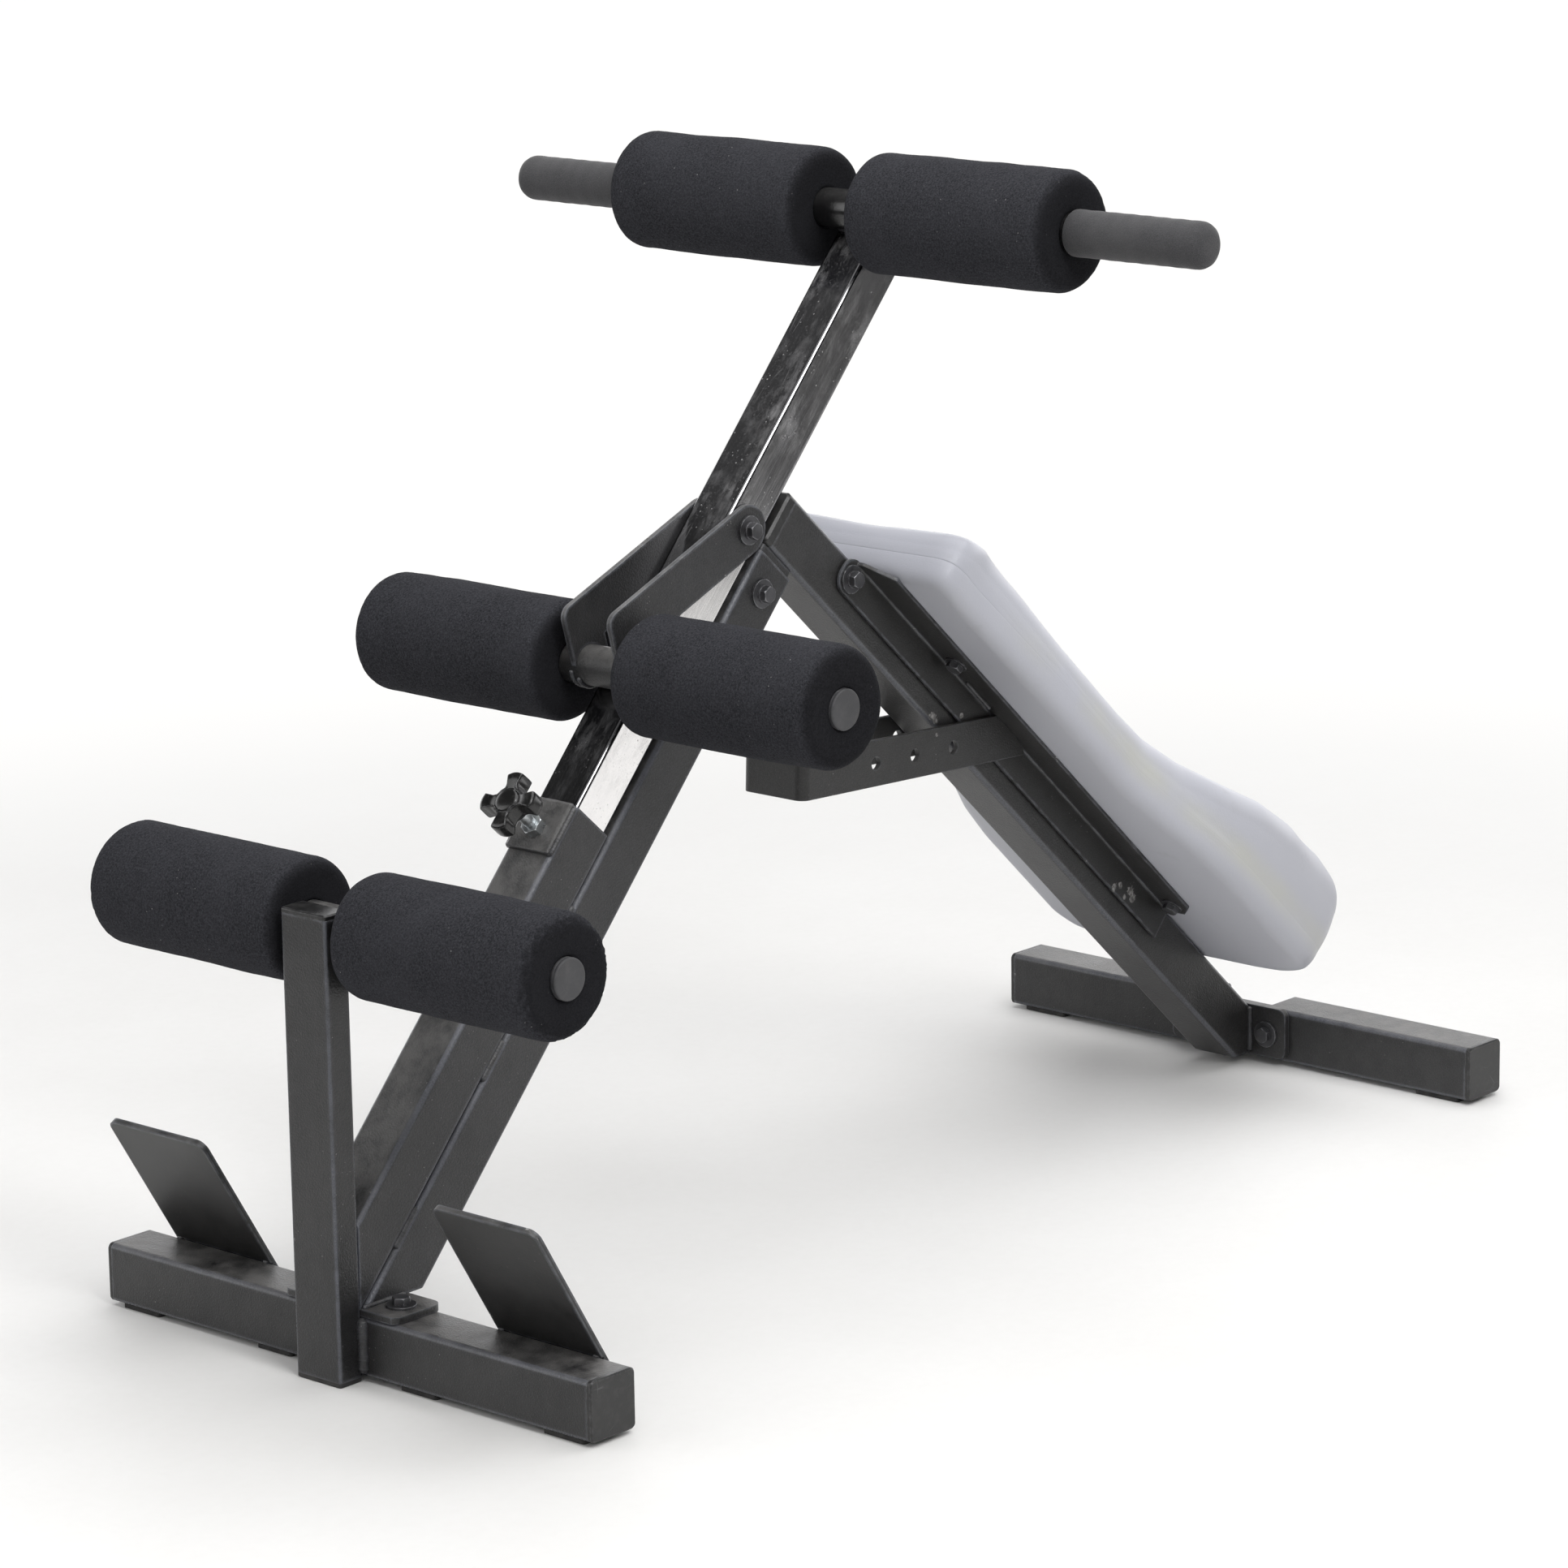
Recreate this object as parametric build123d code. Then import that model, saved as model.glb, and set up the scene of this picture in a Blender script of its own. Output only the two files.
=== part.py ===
# Decline sit up bench: two floor bars, a sleeve and strut leaning at 48 degrees, a telescoping
# mast, three foam roller bars, and a back leg at 42 degrees carrying a contoured pad.
# Millimetres, +Z up, floor at Z = 0. +X runs from the front floor bar to the rear one, where the
# pad is low. "Left" is +Y. The bench is modelled with X = 0 on the front floor bar's front face
# and shifted to the row origin when it is written.
from build123d import *
import os
from math import cos, hypot, pi, radians, sin

os.makedirs("parts", exist_ok=True)

# ---------------------------------------------------------------- shared dimensions
ORIGIN_X = 592.0          # from the front floor bar's front face to the row origin
TUBE = 50.0               # main square tube
WALL = 2.0
TUBE_R = 5.0              # tube corner radius
FOOT_H = 4.0              # rubber feet under the floor bars
BAR_MID_Z = FOOT_H + TUBE / 2
BAR_TOP_Z = FOOT_H + TUBE

# M8 fasteners
BOLT_R = 4.0
BOLT_FLATS = 13.0
BOLT_HEAD = 6.0
NUT_H = 6.8
THREAD_GAP = 0.02         # nut bore over bolt radius
HOLE_R = BOLT_R + 0.4     # washers and cross holes in the tubes
TAB_HOLE_R = BOLT_R + 0.5
PLATE_HOLE_R = BOLT_R + 0.06
WASHER_R, WASHER_T = 12.4, 2.0
SPRING_R, SPRING_T = 7.5, 2.0
BOLT_END = 3.0            # bolt end showing past its nut
JOINT_GAP = 0.1           # from a clamped plate to its washer
OVERCUT = 1.0             # extra length of a hole cutter at each end

SIDES = (-1, 1)           # right, left
SIDE_NAMES = {-1: "right", 1: "left"}
REAR, FRONT = (1, 0, 0), (-1, 0, 0)
LEFT, RIGHT = (0, 1, 0), (0, -1, 0)
UP, DOWN = (0, 0, 1), (0, 0, -1)

# ---------------------------------------------------------------- leaning frames
# Mast frame: t up the mast, s square to it, rearward and down.
# Leg frame: v down the leg from the pad pivot, m square to it, towards the cushion.
MAST_ANGLE = 48.0         # from the floor
LEG_ANGLE = 42.45         # from the floor
PIVOT = (594.5, 0, 553.0)

mast_cos, mast_sin = cos(radians(MAST_ANGLE)), sin(radians(MAST_ANGLE))
leg_cos, leg_sin = cos(radians(LEG_ANGLE)), sin(radians(LEG_ANGLE))
MAST_UP = (mast_cos, 0, mast_sin)
MAST_REAR = (mast_sin, 0, -mast_cos)
LEG_DOWN = (leg_cos, 0, -leg_sin)
LEG_OUT = (leg_sin, 0, leg_cos)
PIVOT_M = PIVOT[0] * leg_sin + PIVOT[2] * leg_cos


def reverse(direction):
    return tuple(-c for c in direction)


MAST_FRONT = reverse(MAST_REAR)
LEG_IN = reverse(LEG_OUT)


def mast_point(t, s, y=0.0):
    return (t * MAST_UP[0] + s * MAST_REAR[0], y, t * MAST_UP[2] + s * MAST_REAR[2])


def leg_point(v, m, y=0.0):
    return (PIVOT[0] + v * LEG_DOWN[0] + (m - PIVOT_M) * LEG_OUT[0], y,
            PIVOT[2] + v * LEG_DOWN[2] + (m - PIVOT_M) * LEG_OUT[2])


MAST_SIDE = Plane(origin=(0, 0, 0), x_dir=MAST_UP, z_dir=LEFT)            # local (t, s)
WORLD_SIDE = Plane(origin=(0, 0, 0), x_dir=REAR, z_dir=RIGHT)             # local (x, z)
LEG_SIDE = Plane(origin=leg_point(0, 0), x_dir=LEG_DOWN, z_dir=RIGHT)     # local (v, m)


# ---------------------------------------------------------------- shape helpers
def along(origin, direction):
    x_dir = UP if abs(direction[2]) < 0.9 else REAR
    return Plane(origin=origin, x_dir=x_dir, z_dir=direction)


def moved(point, direction, distance):
    return tuple(p + distance * d for p, d in zip(point, direction))


def at_y(point, y):
    return (point[0], y, point[2])


def corners(across, up):
    """Rectangle corners from two (low, high) ranges."""
    return [(across[0], up[0]), (across[1], up[0]), (across[1], up[1]), (across[0], up[1])]


def sheet(plane, points, y0, y1):
    """Side profile on one of the side planes, between two Y values."""
    low, high = min(y0, y1), max(y0, y1)
    face = (plane * make_face(Polyline(*points, close=True))).faces()[0]
    return Pos(0, low, 0) * extrude(face, amount=high - low, dir=LEFT)


def cut_block(x, z):
    """Wide block for trimming, from (low, high) ranges in x and z."""
    return Pos(sum(x) / 2, 0, sum(z) / 2) * Box(x[1] - x[0], 400, z[1] - z[0])


def square_tube(plane, size_x, size_y, length, wall, radius):
    outside = extrude(plane * RectangleRounded(size_x, size_y, radius), length)
    bore = RectangleRounded(size_x - 2 * wall, size_y - 2 * wall, max(radius - wall, 0.8))
    return outside - extrude(plane * bore, length)


def mast_aligned_tube(mid_s, size, t0, t1, wall, radius):
    plane = Plane(origin=mast_point(t0, mid_s), x_dir=MAST_REAR, z_dir=MAST_UP)
    return square_tube(plane, size, size, t1 - t0, wall, radius)


def rod(origin, direction, radius, length):
    return extrude(along(origin, direction) * Circle(radius), length)


def cross_hole(centre, radius=HOLE_R, half=30):
    """Cutter along Y, the same length to both sides."""
    return rod(at_y(centre, -half), LEFT, radius, 2 * half)


def end_cap(plane, size_x, size_y, radius, flange, soft=1.2):
    """Plug for a tube end; the plane sits on the tube end with z out of the tube."""
    head = extrude(plane * RectangleRounded(size_x, size_y, radius), flange)
    # If the outer edge can't be chamfered, the flange stays sharp.
    try:
        top = head.faces().sort_by(Axis(plane.origin, plane.z_dir))[-1]
        head = chamfer(top.edges(), soft)
    except Exception:
        pass
    depth, fit, skirt = 12.0, 0.3, 5.0    # skirt: both walls of the hollow insert together
    in_x, in_y = size_x - 2 * WALL - fit, size_y - 2 * WALL - fit
    in_r = radius - WALL
    insert = extrude(plane * RectangleRounded(in_x, in_y, in_r), -depth)
    hollow = RectangleRounded(in_x - skirt, in_y - skirt, max(in_r - 1, 0.5))
    return head + (insert - extrude(plane * hollow, -depth))


def hexagon(origin, direction, flats, height):
    """Hexagonal prism with the corners of its outer end chamfered."""
    plane = along(origin, direction)
    prism = extrude(plane * RegularPolygon(flats / 2, 6, major_radius=False), height)
    envelope = extrude(plane * Circle(flats / 2 / cos(pi / 6) + 0.01), height)
    outer_rim = [e for e in envelope.edges().filter_by(GeomType.CIRCLE)
                 if (e.arc_center - Vector(*origin)).dot(Vector(*direction)) > height * 0.5]
    return prism & chamfer(outer_rim, 0.9)


def bolt(origin, direction, length, head=BOLT_HEAD):
    """M8 bolt; origin is under the head and direction points from shank to head."""
    return (hexagon(origin, direction, BOLT_FLATS, head)
            + rod(origin, reverse(direction), BOLT_R, length))


def washer(origin, direction, bore=HOLE_R, radius=WASHER_R, thickness=WASHER_T):
    plane = along(origin, direction)
    return extrude(plane * Circle(radius), thickness) - extrude(plane * Circle(bore), thickness)


def nut(origin, direction, flats=BOLT_FLATS, height=NUT_H, bore=BOLT_R + THREAD_GAP):
    return hexagon(origin, direction, flats, height) - rod(origin, direction, bore, height)


def cross_bolt(centre, half):
    """Bolt, flat washers, spring washer and nut along Y; head on the right, seats at +-half."""
    stack = WASHER_T + SPRING_T
    length = 2 * half + stack + WASHER_T + NUT_H + BOLT_END
    return (bolt(at_y(centre, -(half + stack)), RIGHT, length),
            [washer(at_y(centre, side * half), (0, side, 0)) for side in SIDES],
            washer(at_y(centre, -(half + WASHER_T)), RIGHT, BOLT_R + 0.2, SPRING_R, SPRING_T),
            nut(at_y(centre, half + WASHER_T), LEFT))


def edges_parallel(shape, direction):
    return [e for e in shape.edges() if abs(e.tangent_at(0.5).dot(Vector(*direction))) > 0.999]


def edges_across(shape, *points):
    """Edges parallel to Y that pass the given points in side view."""
    return [e for e in shape.edges().filter_by(Axis.Y)
            if any(hypot(e.center().X - x, e.center().Z - z) < 1 for x, _, z in points)]


def mirror_y(shape):
    return mirror(shape, about=Plane.XZ)


def group(*shapes):
    return Compound([solid for shape in shapes for solid in shape.solids()])


parts = {}

# ---------------------------------------------------------------- floor bars
CAP_T = 4.5               # visible flange of a floor bar's end cap
FRONT_HALF = 274.0        # half lengths over the caps
REAR_HALF = 270.0
REAR_X = 1167.4           # front face of the rear floor bar
NOTCH_HALF = 39.0         # spanner notch in the middle of the rear floor bar
NOTCH_LIP = 10.0
FOOT_INSET = 4.0          # from the bar's faces
FRONT_FEET_Y = ((218, 262), (62, 102))
REAR_FOOT_Y = (207, 255)

# tab plates that bolt the frame to the floor bars
TAB_T = 6.0
TAB_BOLT_Y = 44.0
TAB_BOLT_LEN = 26.0
FRONT_TAB_X = 26.0        # middle of the front tab plate
FRONT_TAB_SIZE = (54.0, 128.0)
REAR_TAB_SIZE = (132.0, 48.0)
REAR_TAB_MID_Z = 32.0
REAR_BOLT_Z = 30.0
FRONT_TAB_TOP = BAR_TOP_Z + TAB_T
REAR_TAB_X = REAR_X - TAB_T    # front face of the rear tab plate


def floor_bar(x, half):
    tube_half = half - CAP_T
    plane = along((x + TUBE / 2, -tube_half, BAR_MID_Z), LEFT)
    return square_tube(plane, TUBE, TUBE, 2 * tube_half, WALL, TUBE_R)


def floor_bar_caps(x, half):
    planes = [along((x + TUBE / 2, side * (half - CAP_T), BAR_MID_Z), (0, side, 0))
              for side in SIDES]
    return group(*[end_cap(plane, TUBE, TUBE, TUBE_R, CAP_T) for plane in planes])


def foot(bar_x, y_range, side):
    inner, outer = y_range
    pad = Box(TUBE - 2 * FOOT_INSET, outer - inner, FOOT_H)
    pad = Pos(bar_x + TUBE / 2, side * (inner + outer) / 2, FOOT_H / 2) * pad
    return fillet(pad.edges().filter_by(Axis.Z), 3.0)


front_bar = floor_bar(0, FRONT_HALF)
for side in SIDES:
    front_bar -= rod((FRONT_TAB_X, side * TAB_BOLT_Y, 45.0), UP, TAB_HOLE_R, 12.0)
parts["front_crossbar"] = front_bar
parts["front_end_caps"] = floor_bar_caps(0, FRONT_HALF)
parts["front_feet"] = group(*[foot(0, y_range, side)
                              for y_range in FRONT_FEET_Y for side in SIDES])

rear_bar = floor_bar(REAR_X, REAR_HALF)
rear_bar -= (Pos(REAR_X + NOTCH_LIP + 50, 0, FOOT_H + WALL + 50)
             * Box(100, 2 * NOTCH_HALF, 100))
for side in SIDES:
    rear_bar -= rod((REAR_X - OVERCUT, side * TAB_BOLT_Y, REAR_BOLT_Z), REAR, TAB_HOLE_R, 5.0)
parts["rear_crossbar"] = rear_bar
parts["rear_end_caps"] = floor_bar_caps(REAR_X, REAR_HALF)
parts["rear_feet"] = group(*[foot(REAR_X, REAR_FOOT_Y, side) for side in SIDES])

# ---------------------------------------------------------------- tab plates and their bolts
ahead_of_bar = cut_block((-1000, 0), (-500, 1500))
below_front_tab = cut_block((-1000, 1000), (FRONT_TAB_TOP - 1000, FRONT_TAB_TOP))

front_tab = Pos(FRONT_TAB_X, 0, BAR_TOP_Z + TAB_T / 2) * Box(*FRONT_TAB_SIZE, TAB_T)
front_tab = fillet(front_tab.edges().filter_by(Axis.Z), 10.0)
front_tab = front_tab - ahead_of_bar
rear_tab = Pos(REAR_TAB_X + TAB_T / 2, 0, REAR_TAB_MID_Z) * Box(TAB_T, *REAR_TAB_SIZE)
rear_tab = fillet(rear_tab.edges().filter_by(Axis.X), 8.0)
for side in SIDES:
    y = side * TAB_BOLT_Y
    hole_len = TAB_T + 2 * OVERCUT
    front_tab -= rod((FRONT_TAB_X, y, BAR_TOP_Z - OVERCUT), UP, TAB_HOLE_R, hole_len)
    rear_tab -= rod((REAR_TAB_X - OVERCUT, y, REAR_BOLT_Z), REAR, TAB_HOLE_R, hole_len)
parts["front_tab_plate"] = front_tab
parts["rear_tab_plate"] = rear_tab

tab_seats = []            # washer seat and direction to the bolt head
for side in SIDES:
    tab_seats.append(((FRONT_TAB_X, side * TAB_BOLT_Y, FRONT_TAB_TOP), UP))
    tab_seats.append(((REAR_TAB_X, side * TAB_BOLT_Y, REAR_BOLT_Z), FRONT))
parts["tab_bolts"] = group(*[bolt(moved(seat, out, WASHER_T), out, TAB_BOLT_LEN)
                             for seat, out in tab_seats])
parts["tab_washers"] = group(*[washer(seat, out) for seat, out in tab_seats])
parts["tab_nuts"] = group(*[nut(moved(seat, out, -(TAB_T + WALL)), reverse(out))
                            for seat, out in tab_seats])

# ---------------------------------------------------------------- front post
POST_D, POST_W = 25.0, 50.0
POST_R = 3.0
POST_TOP = 381.5
POST_CAP_T = 4.2


def post_plane(z, direction):
    return Plane(origin=(-POST_D / 2, 0, z), x_dir=REAR, z_dir=direction)


# The post stands just ahead of the front floor bar.
parts["front_post"] = square_tube(post_plane(FOOT_H, UP), POST_D, POST_W, POST_TOP - FOOT_H,
                                  WALL, POST_R)
parts["post_top_cap"] = end_cap(post_plane(POST_TOP, UP), POST_D, POST_W, POST_R, POST_CAP_T)
parts["post_foot_cap"] = end_cap(post_plane(FOOT_H, DOWN), POST_D, POST_W, POST_R, FOOT_H)

# ---------------------------------------------------------------- foot plates
FOOTPLATE_ANGLE = 58.8
FOOTPLATE_LEN = 136.5
FOOTPLATE_T = 5.0
FOOTPLATE_X = 47.5        # front face of the plate at the bar's top
FOOTPLATE_Y = (129.0, 241.0)
FOOTPLATE_DROP = 6.0      # lap down behind the bar


def footplate():
    """Left plate, leaning forward over the bar and lapping down behind it."""
    plate_cos, plate_sin = cos(radians(FOOTPLATE_ANGLE)), sin(radians(FOOTPLATE_ANGLE))
    thick_x, thick_z = FOOTPLATE_T * plate_sin, FOOTPLATE_T * plate_cos
    base_z = BAR_TOP_Z - FOOTPLATE_DROP
    top_x = FOOTPLATE_X - FOOTPLATE_LEN * plate_cos
    top_z = BAR_TOP_Z + FOOTPLATE_LEN * plate_sin
    rear_x = FOOTPLATE_X + thick_x + (BAR_TOP_Z + thick_z - base_z) * plate_cos / plate_sin
    profile = [(FOOTPLATE_X, BAR_TOP_Z), (TUBE, BAR_TOP_Z), (TUBE, base_z), (rear_x, base_z),
               (top_x + thick_x, top_z + thick_z), (top_x, top_z)]
    plate = sheet(WORLD_SIDE, profile, *FOOTPLATE_Y)
    top_corners = [e for e in edges_parallel(plate, (plate_sin, 0, plate_cos))
                   if e.center().Z > BAR_TOP_Z + 60]
    return fillet(top_corners, 9.0)


parts["footplate_left"] = footplate()
parts["footplate_right"] = mirror_y(parts["footplate_left"])

# ---------------------------------------------------------------- sleeve and strut
MAST_S = -62.7            # centre line of mast and sleeve
SLEEVE_WALL = 2.5
SLEEVE_TOP = 485.0
SLEEVE_FRONT_S = MAST_S - TUBE / 2
SLEEVE_REAR_S = MAST_S + TUBE / 2
STRUT_S = -11.3           # centre line
STRUT_TOP = 768.0
STRUT_BOLT = mast_point(740.0, STRUT_S)
TRIM_T = -60.0            # untrimmed lower end of both tubes
WELD_T = ((101, 139), (255, 293), (382, 420))
WELD_Y = (17.0, 20.9)
CLAMP_T = 457.0           # clamp screw's place up the mast
CLAMP_HOLE_R = 5.6

sleeve = mast_aligned_tube(MAST_S, TUBE, TRIM_T, SLEEVE_TOP, SLEEVE_WALL, TUBE_R)
sleeve = sleeve - ahead_of_bar - below_front_tab
sleeve -= rod(mast_point(CLAMP_T, SLEEVE_FRONT_S - 2), MAST_REAR, CLAMP_HOLE_R, 6.0)
parts["outer_sleeve"] = sleeve

strut = mast_aligned_tube(STRUT_S, TUBE, TRIM_T, STRUT_TOP, WALL, TUBE_R)
strut = strut - ahead_of_bar - below_front_tab
parts["strut_tube"] = strut - cross_hole(STRUT_BOLT)

# welds bridging the gap between sleeve and strut
weld_gap = (SLEEVE_REAR_S, STRUT_S - TUBE / 2)
parts["stitch_welds"] = group(*[
    sheet(MAST_SIDE, corners(t_range, weld_gap), side * WELD_Y[0], side * WELD_Y[1])
    for t_range in WELD_T for side in SIDES])

# ---------------------------------------------------------------- clamp
COLLAR_T = (437.0, 484.0)    # extent up the mast
COLLAR_THICK = 5.0
COLLAR_W = 48.6
CLAMP_R = 5.0
KNOB_S = -122.0           # rear face of the knob
KNOB_R, KNOB_H = 16.0, 16.0
LOBE_R, LOBE_H, LOBE_PITCH_R = 9.0, 15.0, 17.5
LOBE_START = 12           # degrees
MAST_SIZE = 44.0
MAST_FRONT_S = MAST_S - MAST_SIZE / 2


def sleeve_collar():
    """Plate on the sleeve's front face, with its front edges rounded."""
    start = mast_point(COLLAR_T[0], SLEEVE_FRONT_S - COLLAR_THICK / 2)
    plane = Plane(origin=start, x_dir=MAST_REAR, z_dir=MAST_UP)
    collar = extrude(plane * Rectangle(COLLAR_THICK, COLLAR_W), COLLAR_T[1] - COLLAR_T[0])
    for direction, radius in ((MAST_UP, 4.2), (LEFT, 1.4)):
        front_face = collar.faces().sort_by(Axis((0, 0, 0), MAST_REAR))[0]
        collar = fillet(edges_parallel(front_face, direction), radius)
    return collar - rod(mast_point(CLAMP_T, SLEEVE_FRONT_S - COLLAR_THICK - 2), MAST_REAR,
                        CLAMP_HOLE_R, COLLAR_THICK + 4)


def clamp_knob():
    """Round knob with four lobes and a blind bore for the screw."""
    plane = Plane(origin=mast_point(CLAMP_T, KNOB_S), x_dir=MAST_UP, z_dir=MAST_FRONT)
    knob = extrude(plane * Circle(KNOB_R), KNOB_H)
    for k in range(4):
        angle = radians(LOBE_START + 90 * k)
        place = Pos(LOBE_PITCH_R * cos(angle), LOBE_PITCH_R * sin(angle))
        knob += extrude(plane * (place * Circle(LOBE_R)), LOBE_H)
    return knob - extrude(plane * Circle(CLAMP_R + 0.05), 11.2)


parts["sleeve_collar"] = sleeve_collar()
parts["collar_nut"] = nut(mast_point(CLAMP_T, SLEEVE_FRONT_S - COLLAR_THICK), MAST_FRONT,
                          flats=17.0, height=8.0, bore=CLAMP_R + 0.06)
screw_tip_s = MAST_FRONT_S - 0.2
parts["clamp_screw"] = rod(mast_point(CLAMP_T, screw_tip_s), MAST_FRONT, CLAMP_R,
                           screw_tip_s - KNOB_S + 11.0)
parts["clamp_knob"] = clamp_knob()

# ---------------------------------------------------------------- back leg and strut stub
LEG_M = 800.0             # leg centre line
LEG_TOP_V = -97.8         # upper end of the leg tube
LEG_LEN = 900.0           # before trimming
LEG_FOOT_Z = 9.0
LEG_PLUG = 10.0
STUB = 45.0               # tube under the leg that the strut slips over
STUB_T = (702.0, 800.0)


def above_leg_line(m):
    return sheet(LEG_SIDE, corners((-400, 600), (m, 1400)), -100, 100)


leg_top = leg_point(LEG_TOP_V, LEG_M)
leg = square_tube(Plane(origin=leg_top, x_dir=LEG_IN, z_dir=LEG_DOWN), TUBE, TUBE, LEG_LEN,
                  WALL, TUBE_R)
leg = leg - cut_block((REAR_TAB_X, REAR_TAB_X + 1000), (-700, 700))
leg = leg - cut_block((500, 1500), (LEG_FOOT_Z - 1000, LEG_FOOT_Z))
parts["rear_leg"] = leg - cross_hole(PIVOT, BOLT_R + 0.15)
plug_plane = Plane(origin=leg_top, x_dir=LEG_IN, z_dir=reverse(LEG_DOWN))
parts["leg_top_plug"] = end_cap(plug_plane, TUBE, TUBE, TUBE_R, LEG_PLUG, soft=2.0)

stub = mast_aligned_tube(STRUT_S, STUB, *STUB_T, 2.5, 3.0)
stub = stub - above_leg_line(LEG_M - TUBE / 2)
parts["strut_stub"] = stub - cross_hole(STRUT_BOLT)

# ---------------------------------------------------------------- mast
MAST_T = (190.0, 1085.0)
MAST_R = 3.5
ANKLE_BOLT = mast_point(770.0, MAST_S)

mast = mast_aligned_tube(MAST_S, MAST_SIZE, *MAST_T, WALL, MAST_R)
parts["mast_tube"] = mast - cross_hole(ANKLE_BOLT)
mast_end = Plane(origin=mast_point(MAST_T[1], MAST_S), x_dir=MAST_REAR, z_dir=MAST_UP)
parts["mast_top_plug"] = end_cap(mast_end, MAST_SIZE, MAST_SIZE, MAST_R, 4.0)

# ---------------------------------------------------------------- roller bars
BAR_R = 17.0
BAR_WALL = 2.0
DISC_T = 3.0              # visible part of a roller bar's end cap
FOAM_R = 50.5
FOAM_GAP = 0.08           # running clearance of a foam roller on its bar
FOAM_EDGE = 9.0
LOW_BAR = (BAR_R, 0, 364.0)    # against the post's back face
TOP_BAR_S = MAST_FRONT_S - BAR_R
MID_BAR = mast_point(605.2, TOP_BAR_S - 0.1)
TOP_BAR = mast_point(1064.5, TOP_BAR_S)
LOW_HALF = 247.2          # half lengths, over any caps
MID_HALF = 254.4
TOP_HALF = 374.5
LOW_FOAM_Y = (32.5, 244.3)
MID_FOAM_Y = (41.0, 252.7)
TOP_FOAM_Y = (28.0, 238.8)
GRIP_R = 19.5
GRIP_Y = (240.8, 378.7)


def bar_tube(centre, half):
    plane = along(at_y(centre, -half), LEFT)
    return (extrude(plane * Circle(BAR_R), 2 * half)
            - extrude(plane * Circle(BAR_R - BAR_WALL), 2 * half))


def disc_cap(centre, half, side):
    origin = at_y(centre, side * (half - DISC_T))
    disc = extrude(along(origin, (0, side, 0)) * Circle(BAR_R), DISC_T)
    rim = [e for e in disc.edges().filter_by(GeomType.CIRCLE)
           if abs(e.arc_center.Y) > half - 1.0]
    disc = fillet(rim, 1.6)
    inward = along(origin, (0, -side, 0))
    bore_r = BAR_R - BAR_WALL
    return disc + (extrude(inward * Circle(bore_r - 0.15), 12.0)
                   - extrude(inward * Circle(bore_r - 2.5), 12.0))


def foam(centre, y_range, side):
    inner, outer = y_range
    plane = along(at_y(centre, inner if side > 0 else -outer), LEFT)
    body = extrude(plane * Circle(FOAM_R), outer - inner)
    body = fillet(body.edges().filter_by(GeomType.CIRCLE), FOAM_EDGE)
    return body - extrude(plane * Circle(BAR_R + FOAM_GAP), outer - inner)


def grip(side):
    """Sleeve on an end of the top bar, closed and well rounded at its outer end."""
    inner, outer = GRIP_Y
    plane = along(at_y(TOP_BAR, side * inner), (0, side, 0))
    body = extrude(plane * Circle(GRIP_R), outer - inner)
    outer_rim = [e for e in body.edges().filter_by(GeomType.CIRCLE)
                 if abs(e.arc_center.Y) > outer - 1]
    body = fillet(outer_rim, 11.0)
    inner_rim = [e for e in body.edges().filter_by(GeomType.CIRCLE)
                 if abs(e.arc_center.Y) < inner + 1]
    body = fillet(inner_rim, 1.5)
    return body - extrude(plane * Circle(BAR_R), TOP_HALF - inner)


for name, centre, half in (("low_bar", LOW_BAR, LOW_HALF), ("ankle_bar", MID_BAR, MID_HALF)):
    parts[name] = bar_tube(centre, half - DISC_T)
    parts[name + "_caps"] = group(*[disc_cap(centre, half, side) for side in SIDES])
parts["top_bar"] = bar_tube(TOP_BAR, TOP_HALF)
for side, side_name in SIDE_NAMES.items():
    parts["low_foam_" + side_name] = foam(LOW_BAR, LOW_FOAM_Y, side)
    parts["mid_foam_" + side_name] = foam(MID_BAR, MID_FOAM_Y, side)
    parts["top_foam_" + side_name] = foam(TOP_BAR, TOP_FOAM_Y, side)
    parts["grip_" + side_name] = grip(side)

# ---------------------------------------------------------------- ankle bracket
ANKLE_R = 21.0            # round end about the bolt
ANKLE_PLATE_Y = (23.0, 28.0)
# arm outline, (t, s) in the mast frame
ANKLE_ARM = [(779.1, -81.6), (621.1, -157.4), (594.4, -115.0),
             (628.2, -93.7), (634.9, -104.2), (760.9, -43.8)]


def ankle_plate(side):
    y0, y1 = sorted(side * y for y in ANKLE_PLATE_Y)
    plate = sheet(MAST_SIDE, ANKLE_ARM, y0, y1)
    plate = fillet(edges_across(plate, mast_point(*ANKLE_ARM[1])), 11.0)
    plate += rod(at_y(ANKLE_BOLT, y0), LEFT, ANKLE_R, y1 - y0)
    for centre, radius in ((ANKLE_BOLT, PLATE_HOLE_R), (MID_BAR, BAR_R)):
        plate -= rod(at_y(centre, y0 - OVERCUT), LEFT, radius, y1 - y0 + 2 * OVERCUT)
    return plate.solids().sort_by(SortBy.VOLUME)[-1]


for side, side_name in SIDE_NAMES.items():
    parts["ankle_plate_" + side_name] = ankle_plate(side)

ankle_bolt, ankle_washers, ankle_spring, ankle_nut = cross_bolt(
    ANKLE_BOLT, ANKLE_PLATE_Y[1] + JOINT_GAP)
parts["ankle_bolt"] = ankle_bolt
parts["ankle_washers"] = group(*ankle_washers)
parts["ankle_spring_washer"] = ankle_spring
parts["ankle_nut"] = ankle_nut

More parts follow.
